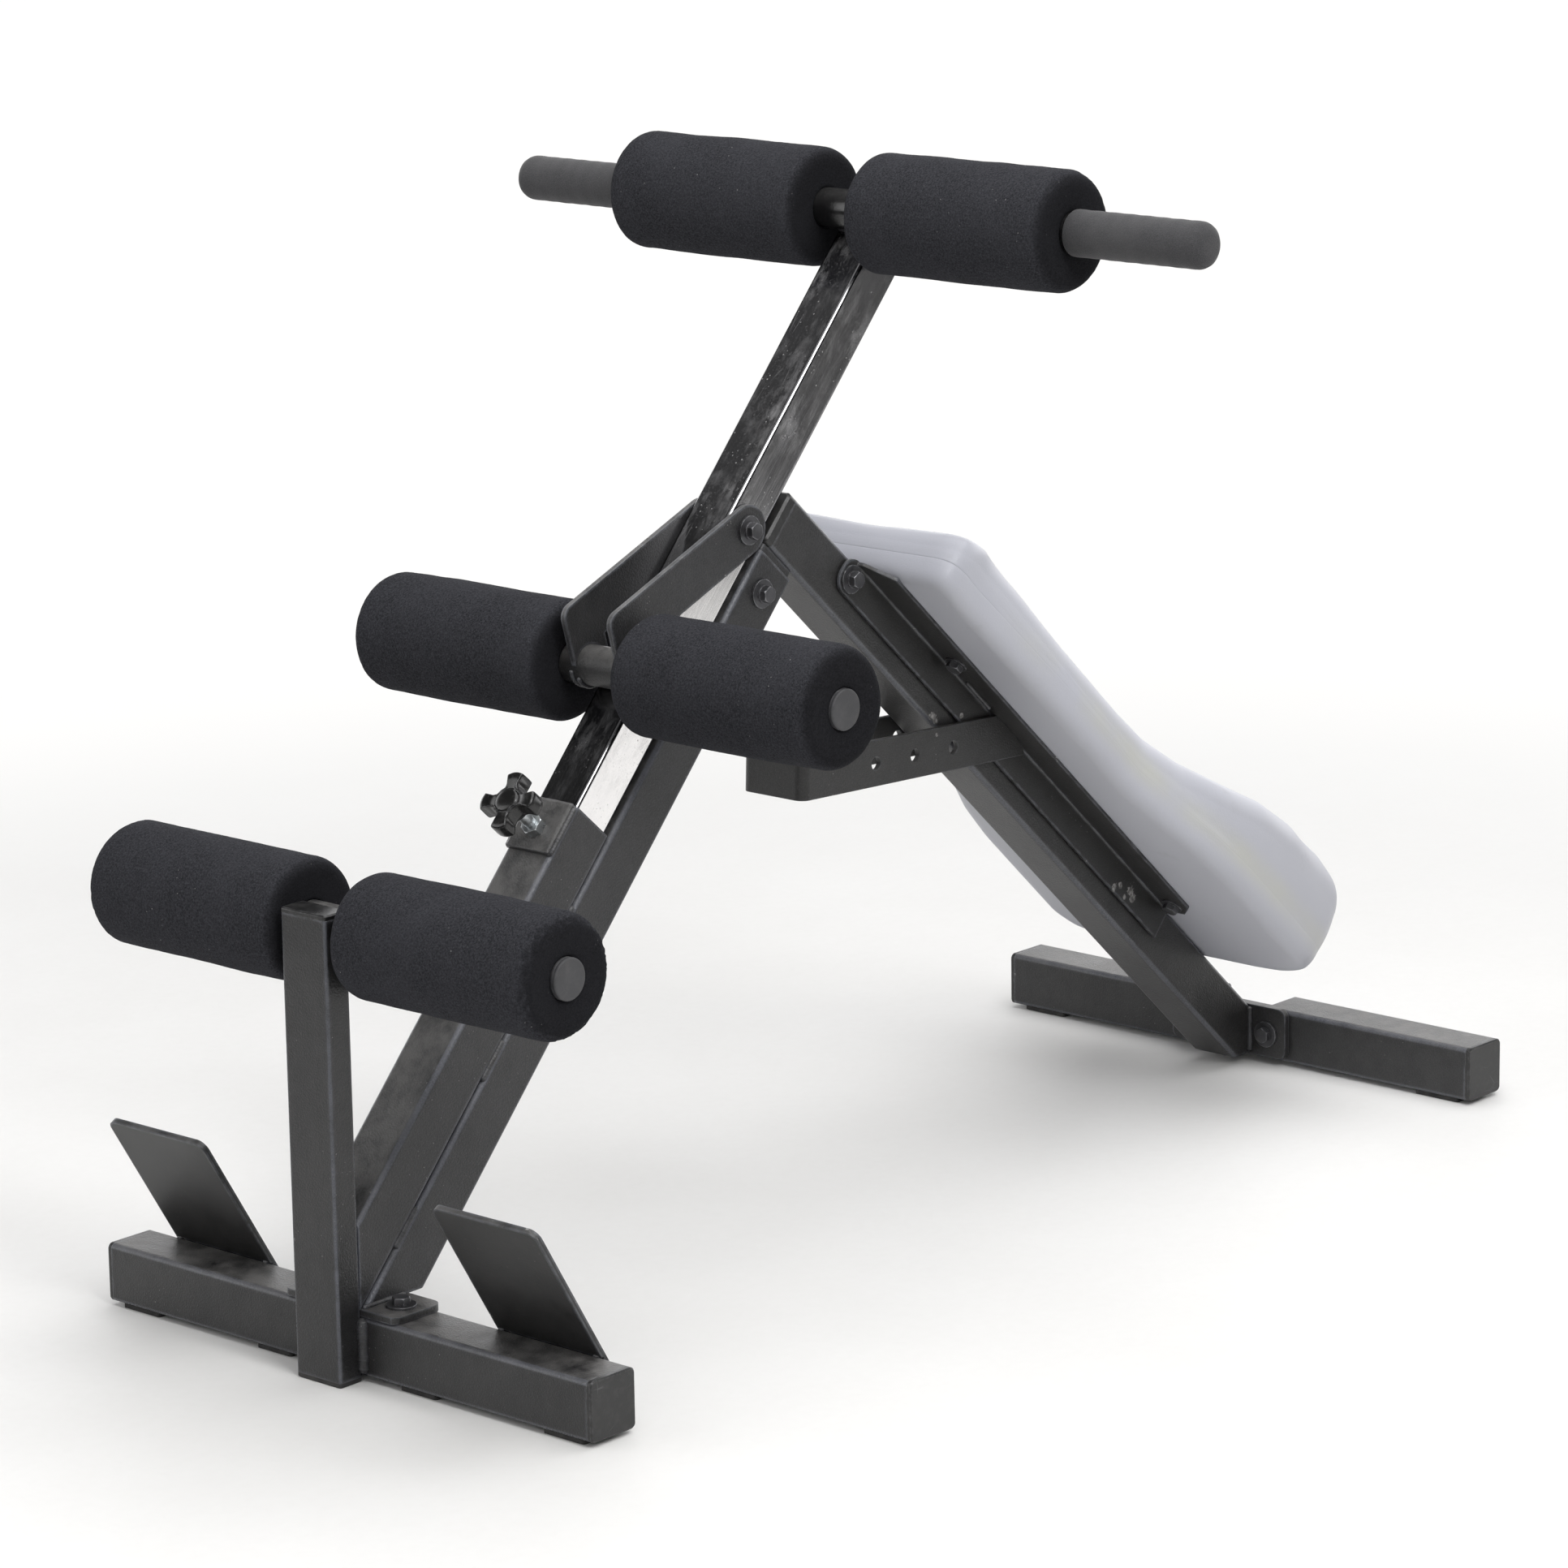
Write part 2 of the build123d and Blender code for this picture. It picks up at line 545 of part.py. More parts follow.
# ---------------------------------------------------------------- pad rails
RAIL_Y = (26.6, 61.0)     # inner face of the upright flange, outer edge of the wing
RAIL_T = 3.0
RAIL_M = (795.0, 826.5)
RAIL_V = (-14.0, 578.0)
RAIL_OUTER_Y = RAIL_Y[0] + RAIL_T
WING_M = RAIL_M[1] - RAIL_T    # underside of the wing
PAD_BOLT_V = (152.0, 563.0)
PAD_BOLT_Y = 43.0


def pad_rail():
    """Left rail: an upright flange with a wing turned outward under the pad."""
    y0, y1 = RAIL_Y
    v0, v1 = RAIL_V
    flange = sheet(LEG_SIDE, corners(RAIL_V, RAIL_M), y0, RAIL_OUTER_Y)
    flange = fillet(edges_across(flange, *[leg_point(v0, m) for m in RAIL_M]), 13.0)
    wing_plane = Plane(origin=leg_point(0, WING_M), x_dir=LEG_DOWN, z_dir=LEG_OUT)
    wing = [(v0 + 14, y0 + 0.5), (v0 + 14, y0 + 8), (v0 + 32, y1),
            (v1 - 14, y1), (v1, y1 - 12), (v1, y0 + 0.5)]
    rail = flange + extrude(wing_plane * make_face(Polyline(*wing, close=True)), RAIL_T)
    bend_point = Vector(*leg_point(0, WING_M, RAIL_OUTER_Y))
    bend = [e for e in edges_parallel(rail, LEG_DOWN)
            if (bend_point - e.center()).cross(Vector(*LEG_DOWN)).length < 0.2]
    rail = fillet(bend, 1.6)
    hole_len = RAIL_T + 2 * OVERCUT
    rail -= rod(at_y(PIVOT, y0 - OVERCUT), LEFT, PLATE_HOLE_R, hole_len)
    for v in PAD_BOLT_V:
        rail -= rod(leg_point(v, WING_M - OVERCUT, PAD_BOLT_Y), LEG_OUT, HOLE_R, hole_len)
    return rail


parts["pad_rail_left"] = pad_rail()
parts["pad_rail_right"] = mirror_y(parts["pad_rail_left"])

# bolts through strut and stub, and through leg and rails
strut_bolt, strut_washers, strut_spring, strut_nut = cross_bolt(STRUT_BOLT, TUBE / 2)
pivot_bolt, pivot_washers, pivot_spring, pivot_nut = cross_bolt(PIVOT, RAIL_OUTER_Y + JOINT_GAP)
parts["strut_bolt"] = strut_bolt
parts["pivot_bolt"] = pivot_bolt
parts["frame_washers"] = group(*strut_washers, *pivot_washers)
parts["frame_spring_washers"] = group(strut_spring, pivot_spring)
parts["frame_nuts"] = group(strut_nut, pivot_nut)

# ---------------------------------------------------------------- adjusting bracket
BRACKET_X = 523.0         # closed end
BRACKET_H = 40.0
BRACKET_T = 5.0
BRACKET_LEN = 300.0       # before trimming
BRACKET_TILT = -2.6
BRACKET_HOLE_R = 6.0
BRACKET_HOLES = ((618.8, 389.3), (670.2, 387.0), (721.5, 384.7))    # x, z


def u_bracket():
    """Flat bar bent to a U around the leg, its arms outside the rails."""
    tilt_x, tilt_z = cos(radians(BRACKET_TILT)), sin(radians(BRACKET_TILT))
    hole_x, hole_z = BRACKET_HOLES[0]
    mid_z = hole_z + (BRACKET_X - hole_x) * tilt_z / tilt_x
    plane = Plane(origin=(BRACKET_X, 0, mid_z - BRACKET_H / 2),
                  x_dir=(tilt_x, 0, tilt_z), z_dir=(-tilt_z, 0, tilt_x))
    half_len, half_w = BRACKET_LEN / 2, RAIL_OUTER_Y + BRACKET_T
    outside = Pos(half_len, 0) * RectangleRounded(BRACKET_LEN, 2 * half_w, 9.0)
    inside = (Pos(BRACKET_T + half_len, 0)
              * RectangleRounded(BRACKET_LEN, 2 * (half_w - BRACKET_T), 4.0))
    bracket = extrude(plane * outside, BRACKET_H) - extrude(plane * inside, BRACKET_H)
    bracket = bracket - above_leg_line(WING_M)
    for x, z in BRACKET_HOLES:
        bracket -= cross_hole((x, 0, z), BRACKET_HOLE_R, 50)
    # the arms clear the filleted bend of each rail
    clearance = corners((60, 420), (WING_M - 1.75, RAIL_M[1]))
    for side in SIDES:
        bracket -= sheet(LEG_SIDE, clearance,
                         side * (RAIL_OUTER_Y - 0.6), side * (RAIL_OUTER_Y + 1.75))
    return bracket


parts["u_bracket"] = u_bracket()

# ---------------------------------------------------------------- pad
BOARD_T = 12.0
BOARD_INSET = 18.0
BOARD_M = RAIL_M[1]       # underside of the board
BOARD_TOP_M = BOARD_M + BOARD_T
CUSHION_M = BOARD_TOP_M + 0.1
# (v, half width) down the pad
HALF_WIDTHS = [
    (14, 95), (18, 108), (30, 113), (60, 111), (120, 113.5), (200, 117), (300, 118),
    (350, 115), (400, 126.5), (450, 142.5), (500, 149.5), (550, 150.5), (600, 150),
    (645, 149), (668, 137), (678, 112), (681, 80)]
# (v, m) of the cushion's top down the pad
CROWN = [
    (14, 852), (18, 865), (30, 877), (60, 885), (120, 884), (200, 881), (300, 880.5),
    (350, 883), (400, 889), (450, 900), (500, 913), (550, 921), (600, 922),
    (640, 915), (662, 898), (676, 872), (681, 852)]
PAD_BOLTS = [(v, side * PAD_BOLT_Y) for v in PAD_BOLT_V for side in SIDES]


def pad_face(m, inset):
    """Pad outline at height m, drawn in by the inset at its sides and both ends."""
    first, last = HALF_WIDTHS[0][0] + inset, HALF_WIDTHS[-1][0] - inset
    left = []
    for station, half_width in HALF_WIDTHS:
        v, w = min(max(station, first), last), half_width - inset
        if left and abs(v - left[-1][0]) < 0.5:
            # stations clamped to the same end merge into one
            pick = min if v > 300 else max
            left[-1] = (v, pick(left[-1][1], w))
        else:
            left.append((v, w))
    right = [(v, -w) for v, w in reversed(left)]
    plane = Plane(origin=leg_point(0, m), x_dir=LEG_DOWN, z_dir=LEG_OUT)
    return plane * make_face(Polyline(*left, *right, close=True))


def pad_board():
    """Board with a bored and recessed seat for each T-nut."""
    board = extrude(pad_face(BOARD_M, BOARD_INSET), BOARD_T)
    for v, y in PAD_BOLTS:
        board -= rod(leg_point(v, BOARD_M - OVERCUT, y), LEG_OUT, 5.0, BOARD_T + 2 * OVERCUT)
        board -= rod(leg_point(v, BOARD_TOP_M - 1.6, y), LEG_OUT, 10.2, 3.0)
    return board


def pad_cushion():
    """Side profile of the pad, trimmed to its outline."""
    profile = [(CROWN[0][0], CUSHION_M)] + CROWN + [(CROWN[-1][0], CUSHION_M)]
    block = sheet(LEG_SIDE, profile, -200, 200)
    outline = extrude(pad_face(CUSHION_M - 5, 0.0), 140)
    return (block & outline).solids().sort_by(SortBy.VOLUME)[-1]


def t_nut(v, y):
    start = leg_point(v, BOARD_M + 1.0, y)
    bore = BOLT_R + THREAD_GAP
    barrel = rod(start, LEG_OUT, 4.9, BOARD_T - 1.0) - rod(start, LEG_OUT, bore, BOARD_T)
    return barrel + washer(leg_point(v, BOARD_TOP_M - 1.5, y), LEG_OUT, bore, 10.0, 1.4)


PAD_WASHER_T = 1.6
parts["pad_board"] = pad_board()
parts["pad_cushion"] = pad_cushion()
parts["pad_bolts"] = group(*[
    bolt(leg_point(v, WING_M - PAD_WASHER_T, y), LEG_IN, 14.0, head=5.3) for v, y in PAD_BOLTS])
parts["pad_washers"] = group(*[
    washer(leg_point(v, WING_M, y), LEG_IN, BOLT_R + 0.3, 10.0, PAD_WASHER_T)
    for v, y in PAD_BOLTS])
parts["pad_t_nuts"] = group(*[t_nut(v, y) for v, y in PAD_BOLTS])

# ---------------------------------------------------------------- write
for name, shape in parts.items():
    solids = (Pos(-ORIGIN_X, 0, 0) * shape).solids()
    piece = solids[0] if len(solids) == 1 else Compound(list(solids))
    piece.label = name
    export_step(piece, f"parts/{name}.step")
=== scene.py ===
"""Folding exercise bench with a sliding chrome mast, foam rollers and a vinyl pad.

The bench stands on the floor with x running from its front post to its rear leg, y to the left
as seen looking from front to rear, and z up. Sizes are millimetres in one of three frames
(bench, mast, pad), turned into row-frame metres by on_bench, on_mast and on_pad. Numbers inside
materials, lights and the stage are metres.
"""

import math
import random
from functools import cached_property

import bpy
import bmesh
import numpy as np
from mathutils import Matrix, Vector, noise
from mathutils.kdtree import KDTree

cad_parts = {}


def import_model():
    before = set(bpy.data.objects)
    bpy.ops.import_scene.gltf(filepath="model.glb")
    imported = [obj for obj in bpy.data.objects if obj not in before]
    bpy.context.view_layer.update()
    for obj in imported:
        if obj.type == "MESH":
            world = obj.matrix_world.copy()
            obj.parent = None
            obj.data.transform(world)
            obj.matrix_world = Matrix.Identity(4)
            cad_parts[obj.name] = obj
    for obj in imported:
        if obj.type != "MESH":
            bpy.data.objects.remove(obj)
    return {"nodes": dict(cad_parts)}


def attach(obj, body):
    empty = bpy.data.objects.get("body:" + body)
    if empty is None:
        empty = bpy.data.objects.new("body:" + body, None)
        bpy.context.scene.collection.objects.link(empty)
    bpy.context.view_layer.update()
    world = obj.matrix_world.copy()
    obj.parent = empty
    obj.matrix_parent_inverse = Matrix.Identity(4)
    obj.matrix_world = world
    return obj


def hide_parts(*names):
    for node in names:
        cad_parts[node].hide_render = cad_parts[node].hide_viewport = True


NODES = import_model()["nodes"]
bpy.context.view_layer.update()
random.seed(7)
scene = bpy.context.scene
SIDES = ((1, "left"), (-1, "right"))      # sign of y, name

# ------------------------------------------------------------------ frames
MM = 0.001
BENCH_X = -0.592                          # row-frame x of the bench's zero, metres
MAST_TILT = math.radians(48.0)
MAST_UP = Vector((math.cos(MAST_TILT), 0, math.sin(MAST_TILT)))       # up the mast, to the rear
MAST_UNDER = Vector((math.sin(MAST_TILT), 0, -math.cos(MAST_TILT)))   # out of its rear underside
PAD_TILT = math.radians(42.45)
PAD_ALONG = Vector((math.cos(PAD_TILT), 0, -math.sin(PAD_TILT)))      # down the pad, to the rear
PAD_UP = Vector((math.sin(PAD_TILT), 0, math.cos(PAD_TILT)))          # out of its top face
PIVOT_X, PIVOT_Z = 594.5, 553.0           # the pad is measured along from here
PIVOT_UP = PIVOT_X * math.sin(PAD_TILT) + PIVOT_Z * math.cos(PAD_TILT)


def on_bench(x, y, z):
    return Vector((x * MM + BENCH_X, y * MM, z * MM))


def on_mast(along, y, under):
    p = MAST_UP * along + MAST_UNDER * under
    return on_bench(p.x, y, p.z)


def on_pad(along, y, up):
    p = Vector((PIVOT_X, 0, PIVOT_Z)) + PAD_ALONG * along + PAD_UP * (up - PIVOT_UP)
    return on_bench(p.x, y, p.z)


# Places shared by materials and meshes.
BAR_UNDER = -101.8                        # ankle bar axis, off the upper face of the mast
LOW_BAR = on_bench(17.0, 0, 364.0)
ANKLE_BAR = on_mast(605.2, 0, BAR_UNDER)
TOP_BAR = on_mast(1064.5, 0, BAR_UNDER + 0.1)
ANKLE_BOLT = on_mast(770.0, 0, -62.7)
SEAM_UP = 849.0                           # seam round the side of the pad
PAD_BASE_UP = 826.1                       # underside of the pad

# Pale spots drawn as chips, bench x, y, z and radius: where the coat is knocked off on the leg
# and rails, painted highlights on the bracket.
LEG_CHIPS = ((705.1, -25.0, 413.6, 4.2), (709.4, -25.0, 409.2, 2.8))
RAIL_CHIPS = (
    (738.5, -29.6, 408.9, 2.4), (950.9, -29.6, 211.8, 4.2), (960.3, -29.6, 212.2, 2.8),
    (974.5, -29.6, 204.0, 4.8), (978.0, -29.6, 196.4, 4.4), (966.2, -29.6, 199.6, 2.4))
# painted highlights: two small pale spots on the bracket stand in for a glint, not bare metal
BRACKET_HIGHLIGHT_SPOTS = ((698.9, -34.6, 400.2, 2.2), (673.1, -34.6, 413.5, 1.2))

# Face directions of square tubes.
BENCH_FACES = ((1, 0, 0), (0, 1, 0), (0, 0, 1))
MAST_FACES = ((0, 1, 0), MAST_UP, MAST_UNDER)
PAD_FACES = ((0, 1, 0), PAD_ALONG, PAD_UP)


# ------------------------------------------------------------------ node graphs
class Graph:
    """Shorthand for building a node tree. Any value may be a number, a tuple or a socket."""

    def __init__(self, owner, output="ShaderNodeOutputMaterial"):
        self.owner = owner
        owner.use_nodes = True
        self.tree = owner.node_tree
        self.tree.nodes.clear()
        self.output = self.node(output)

    def put(self, socket, value):
        if isinstance(value, bpy.types.NodeSocket):
            self.tree.links.new(value, socket)
        elif isinstance(value, tuple) and len(value) == 3 and socket.type == "RGBA":
            socket.default_value = (*value, 1.0)
        else:
            socket.default_value = value

    def node(self, kind, inputs=None, **attributes):
        """A new node. Inputs are keyed by name or index; None leaves one at its default."""
        made = self.tree.nodes.new(kind)
        for key, value in attributes.items():
            setattr(made, key, value)
        for key, value in (inputs or {}).items():
            if value is not None:
                self.put(made.inputs[key], value)
        return made

    @cached_property
    def coord(self):
        return self.node("ShaderNodeTexCoord").outputs["Object"]

    @cached_property
    def geometry(self):
        return self.node("ShaderNodeNewGeometry")

    @property
    def normal(self):
        return self.geometry.outputs["Normal"]

    # arithmetic
    def calc(self, operation, a, b=0.0, clamp=False):
        made = self.node("ShaderNodeMath", {0: a, 1: b}, operation=operation, use_clamp=clamp)
        return made.outputs[0]

    def mul(self, result, *factors, by=None):
        for factor in factors if by is None else (*factors, by):
            result = self.calc("MULTIPLY", result, factor)
        return result

    def add(self, a, b):
        return self.calc("ADD", a, b)

    def sub(self, a, b):
        return self.calc("SUBTRACT", a, b)

    def absolute(self, a):
        return self.calc("ABSOLUTE", a)

    def maximum(self, result, *others):
        for other in others:
            result = self.calc("MAXIMUM", result, other)
        return result

    def ramp(self, value, over, to=(0.0, 1.0), smooth=False):
        """Maps the range `over` onto the range `to`, clamped."""
        return self.node("ShaderNodeMapRange",
                         {0: value, 1: over[0], 2: over[1], 3: to[0], 4: to[1]}, clamp=True,
                         interpolation_type="SMOOTHSTEP" if smooth else "LINEAR").outputs[0]

    # vectors
    def dot(self, a, b):
        made = self.node("ShaderNodeVectorMath", {0: a, 1: b}, operation="DOT_PRODUCT")
        return made.outputs["Value"]

    def length(self, vec):
        return self.node("ShaderNodeVectorMath", {0: vec}, operation="LENGTH").outputs["Value"]

    def part(self, vec, axis):
        return self.node("ShaderNodeSeparateXYZ", {0: vec}).outputs[axis]

    def scaled(self, scale, turn=(0, 0, 0), vec=None):
        return self.node("ShaderNodeMapping", {
            "Vector": vec or self.coord, "Scale": scale, "Rotation": turn,
            "Location": (0, 0, 0)}).outputs[0]

    # colours
    def mix(self, amount, a, b):
        return self.node("ShaderNodeMix", {0: amount, 6: a, 7: b}, data_type="RGBA").outputs[2]

    def mix_value(self, amount, a, b):
        return self.node("ShaderNodeMix", {0: amount, 2: a, 3: b}, data_type="FLOAT").outputs[0]

    def tint(self, colour, mask, to, by=None):
        """Moves colour towards `to` where the mask is 1, with strength `by`."""
        return self.mix(self.mul(mask, by=by), colour, to)

    def shades(self, mask, base, dark, light):
        """The base colour times `dark` where the mask is 0 and times `light` where it is 1."""
        return self.mix(mask, tuple(c * dark for c in base), tuple(c * light for c in base))

    # patterns
    def noise(self, scale, detail=3.0, rough=0.5, vec=None):
        return self.node("ShaderNodeTexNoise", {
            "Scale": scale, "Detail": detail, "Roughness": rough,
            "Vector": vec or self.coord}).outputs[0]

    def voronoi(self, scale, vec=None, feature="F1", smooth=None):
        return self.node("ShaderNodeTexVoronoi", {
            "Scale": scale, "Smoothness": smooth, "Vector": vec or self.coord},
            feature=feature).outputs["Distance"]

    def patches(self, over, **pattern):
        return self.ramp(self.noise(**pattern), over)

    def dots(self, over, **pattern):
        return self.ramp(self.voronoi(**pattern), over)

    def scratches(self, scale, turn, over, vec=None):
        return self.dots(over, scale=1.0, feature="DISTANCE_TO_EDGE",
                         vec=self.scaled(scale, turn=turn, vec=vec))

    # surface
    def rounded(self, radius):
        return self.node("ShaderNodeBevel", {"Radius": radius}, samples=4).outputs[0]

    def edges(self, radius, over):
        """1 along convex and concave corners, 0 on the flats."""
        return self.ramp(self.sub(1.0, self.dot(self.rounded(radius), self.normal)), over)

    def corners(self, faces, over=(0.006, 0.085)):
        """1 on the rounded corners of a tube whose faces look along the given directions."""
        facing = [self.absolute(self.dot(self.normal, face)) for face in faces]
        return self.ramp(self.sub(1.0, self.maximum(*facing)), over)

    def bump(self, height, strength, distance, normal=None):
        return self.node("ShaderNodeBump", {
            "Strength": strength, "Distance": distance, "Height": height,
            "Normal": normal}).outputs[0]

    def principled(self, **inputs):
        return self.node("ShaderNodeBsdfPrincipled",
                         {key.replace("_", " "): v for key, v in inputs.items()}).outputs[0]

    def finish(self, shader):
        self.put(self.output.inputs[0], shader)
        return self.owner

    def surface(self, **inputs):
        return self.finish(self.principled(**inputs))


def material_graph(name):
    return Graph(bpy.data.materials.new(name))


# ------------------------------------------------------------------ materials
def paint(name, base=(0.0168, 0.0168, 0.0178), rough=0.38, grain=740.0, pebble=0.55, peel=0.35,
          wear=1.0, dust=1.0, spec=0.5, rounding=0.0014, flake=0.45, chips=(), edge=0.0038,
          faces=None):
    """Black powder coat.

    grain is the scale of the pebbled skin and pebble its depth, peel the strength of the wider
    waviness, flake the strength of the sparkle, which is painted glints of the flakes in the
    coat, edge the width of the rubbed corners, lightened by wear and by a painted highlight,
    faces the directions of a square tube's flats, whose rounded corners get a painted highlight.
    """
    g = material_graph(name)
    fine = g.noise(scale=grain, detail=3.0, rough=0.7)
    pebbles = g.voronoi(scale=grain * 0.8, feature="SMOOTH_F1", smooth=0.5)
    cloud = g.noise(scale=7.0, detail=5.0, rough=0.62)
    medium = g.noise(scale=60.0, detail=4.0, rough=0.6)
    streak = g.noise(scale=1.0, detail=4.0, rough=0.6, vec=g.scaled((26, 26, 9)))
    col = g.shades(g.ramp(cloud, over=(0.32, 0.7)), base, dark=0.72, light=1.30)
    pits = g.mix(amount=0.55, a=col, b=(0.003, 0.003, 0.003))
    col = g.mix(g.ramp(fine, over=(0.40, 0.64)), pits, col)
    # painted glints: light specks stand in for the sparkle of flakes in the coat catching the
    # light
    painted_glints = g.patches(scale=grain * 1.7, detail=2.0, rough=0.8, over=(0.60, 0.74))
    col = g.tint(col, painted_glints, by=flake, to=(0.115, 0.115, 0.125))
    # pale film of dust, with painted light: far stronger on faces that look up, where it also
    # stands in for the bright sheen those faces catch
    up = g.ramp(g.part(g.normal, "Z"), over=(0.15, 1.0))
    film = g.mul(g.ramp(g.mul(medium, streak), over=(0.10, 0.32)),
                 g.mix_value(up, a=0.08 * dust, b=0.95 * dust))
    col = g.tint(col, film, to=(0.138, 0.134, 0.130))
    # lint and fine grit
    speck = g.mul(g.dots(scale=170.0, over=(0.10, 0.055)),
                  g.patches(scale=17.0, detail=3.0, over=(0.53, 0.63)))
    col = g.tint(col, speck, by=0.60, to=(0.30, 0.29, 0.28))
    # rubbed corners, lightened partly by wear and partly as a painted highlight along the
    # rounding, with small bright nicks in them
    corner = g.edges(radius=edge, over=(0.006, 0.05))
    wear_and_edge_highlight = g.mul(corner, g.patches(scale=70.0, detail=5.0, rough=0.7, over=(0.34, 0.60)))
    col = g.tint(col, wear_and_edge_highlight, by=min(0.9, 0.62 * wear), to=(0.150, 0.157, 0.178))
    nick = g.mul(corner, g.patches(scale=120.0, detail=3.0, rough=0.6, over=(0.64, 0.68)),
                 g.patches(scale=21.0, detail=2.0, over=(0.55, 0.62)))
    col = g.tint(col, nick, by=min(1.0, wear), to=(0.60, 0.59, 0.58))
    roughness = g.add(g.ramp(cloud, over=(0.3, 0.75), to=(rough - 0.05, rough + 0.08)),
                      g.mul(film, by=0.16))
    if faces:
        # painted highlight: the rounded corners of the tube are lightened to a bluish grey and
        # made less rough, standing in for the sheen of the lights along them, broken up by fine
        # and broad noise
        broken = g.add(g.mul(fine, by=0.6),
                       g.mul(g.noise(scale=24.0, detail=4.0, rough=0.6), by=0.4))
        corner_highlight = g.mul(g.corners(faces), g.ramp(broken, over=(0.34, 0.60), to=(0.25, 1.0)))
        col = g.tint(col, corner_highlight, by=min(0.9, 0.66 * wear), to=(0.120, 0.126, 0.147))
        roughness = g.sub(roughness, g.mul(corner_highlight, by=0.10))
    for x, y, z, size in chips:
        radius = size * MM
        offset = g.node("ShaderNodeVectorMath", {0: g.coord, 1: on_bench(x, y, z)},
                        operation="SUBTRACT").outputs[0]
        # noise centred on zero makes the outline ragged
        ragged = g.sub(g.noise(scale=190.0, detail=4.0, rough=0.75), 0.5)
        distance = g.add(g.length(offset), g.mul(ragged, by=radius * 2.6))
        bare = g.mix(g.patches(scale=330.0, detail=3.0, over=(0.35, 0.65)),
                     a=(0.07, 0.068, 0.066), b=(0.36, 0.352, 0.34))
        inside = g.ramp(distance, over=(radius * 1.02, radius * 0.86))
        col = g.tint(col, inside, by=0.8, to=bare)
    height = g.add(g.mul(fine, by=1.0), g.mul(pebbles, by=0.8))
    waves = g.bump(medium, strength=0.05 * peel, distance=0.0015, normal=g.rounded(rounding))
    skin = g.bump(height, strength=pebble, distance=0.00048, normal=waves)
    return g.surface(Base_Color=col, Roughness=roughness, Normal=skin, Specular_IOR_Level=spec)


def chrome(name):
    """Scuffed, dusty bright plating on the sliding mast."""
    bright = 0.82
    g = material_graph(name)
    mast = g.scaled((1, 1, 1), turn=(0, MAST_TILT, 0))      # local x runs along the mast
    fine = g.noise(scale=1.0, detail=4.0, rough=0.65, vec=g.scaled((26, 700, 700), vec=mast))
    wide = g.noise(scale=1.0, detail=5.0, rough=0.6, vec=g.scaled((9, 60, 60), vec=mast))
    blot = g.noise(scale=13.0, detail=5.0, rough=0.62)
    wiped = g.scaled((30, 75, 75), turn=(0.4, 0.5, 0.6), vec=mast)
    haze = g.mul(g.patches(scale=1.0, detail=5.0, rough=0.65, vec=wiped, over=(0.46, 0.62)),
                 g.ramp(blot, over=(0.42, 0.60)))
    grit = g.mul(g.dots(scale=210.0, over=(0.17, 0.09)),
                 g.patches(scale=34.0, detail=4.0, rough=0.65, over=(0.50, 0.60)))
    fine_grit = g.mul(g.patches(scale=480.0, detail=3.0, rough=0.8, over=(0.56, 0.70)),
                      g.ramp(blot, over=(0.36, 0.60)))
    scratch = g.mul(g.scratches((7, 60, 60), turn=(0, 0.25, 0.3), vec=mast, over=(0.02, 0.004)),
                    g.patches(scale=14.0, detail=2.0, over=(0.56, 0.64)))
    soil = g.maximum(g.mul(haze, by=0.20), g.mul(grit, by=0.85), g.mul(scratch, by=0.22),
                     g.mul(fine_grit, by=0.22))
    col = g.mix(g.ramp(wide, over=(0.3, 0.75)),
                a=(bright * 0.82, bright * 0.815, bright * 0.84),
                b=(bright, bright * 0.99, bright))
    col = g.tint(col, soil, to=(0.100, 0.098, 0.096))
    col = g.tint(col, grit, by=0.8, to=(0.30, 0.295, 0.29))
    # painted reflection: the chrome is painted near black in a band either side of each corner,
    # so that the corner flashes only along a narrow line between them
    sideways = g.absolute(g.part(g.normal, "Y"))
    painted_dark_band_front = g.mul(g.ramp(sideways, over=(0.04, 0.14)), g.ramp(sideways, over=(0.66, 0.58)))
    painted_dark_band_side = g.mul(g.ramp(sideways, over=(0.80, 0.86)),
                      g.ramp(sideways, over=(0.998, 0.985)))
    col = g.tint(col, g.maximum(painted_dark_band_front, painted_dark_band_side), by=0.93, to=(0.030, 0.030, 0.032))
    # painted reflection: below the ankle bolt the front face is painted dark and the flat sides
    # near white, standing in for the chrome's reflections of dim and bright surroundings
    bolt = ANKLE_BOLT.dot(MAST_UP)
    low = g.ramp(g.dot(g.coord, MAST_UP), over=(bolt + 0.035, bolt - 0.055), smooth=True)
    front = g.ramp(g.dot(g.normal, (-MAST_UNDER.x, 0.0, -MAST_UNDER.z)), over=(0.5, 0.9))
    col = g.tint(col, g.mul(front, low), by=0.66, to=(0.010, 0.010, 0.011))
    flat = g.mul(g.ramp(sideways, over=(0.990, 0.999)), low)
    col = g.tint(col, flat, by=0.75, to=(0.97, 0.955, 0.945))
    roughness = g.add(g.ramp(fine, over=(0.25, 0.8), to=(0.10, 0.20)), g.mul(soil, by=0.45))
    brushed = g.bump(fine, strength=0.10, distance=0.0003, normal=g.rounded(0.0010))
    return g.surface(Base_Color=col, Roughness=roughness,
                     Metallic=g.calc("SUBTRACT", 1.0, soil, clamp=True),
                     Normal=g.bump(wide, strength=0.10, distance=0.0006, normal=brushed))


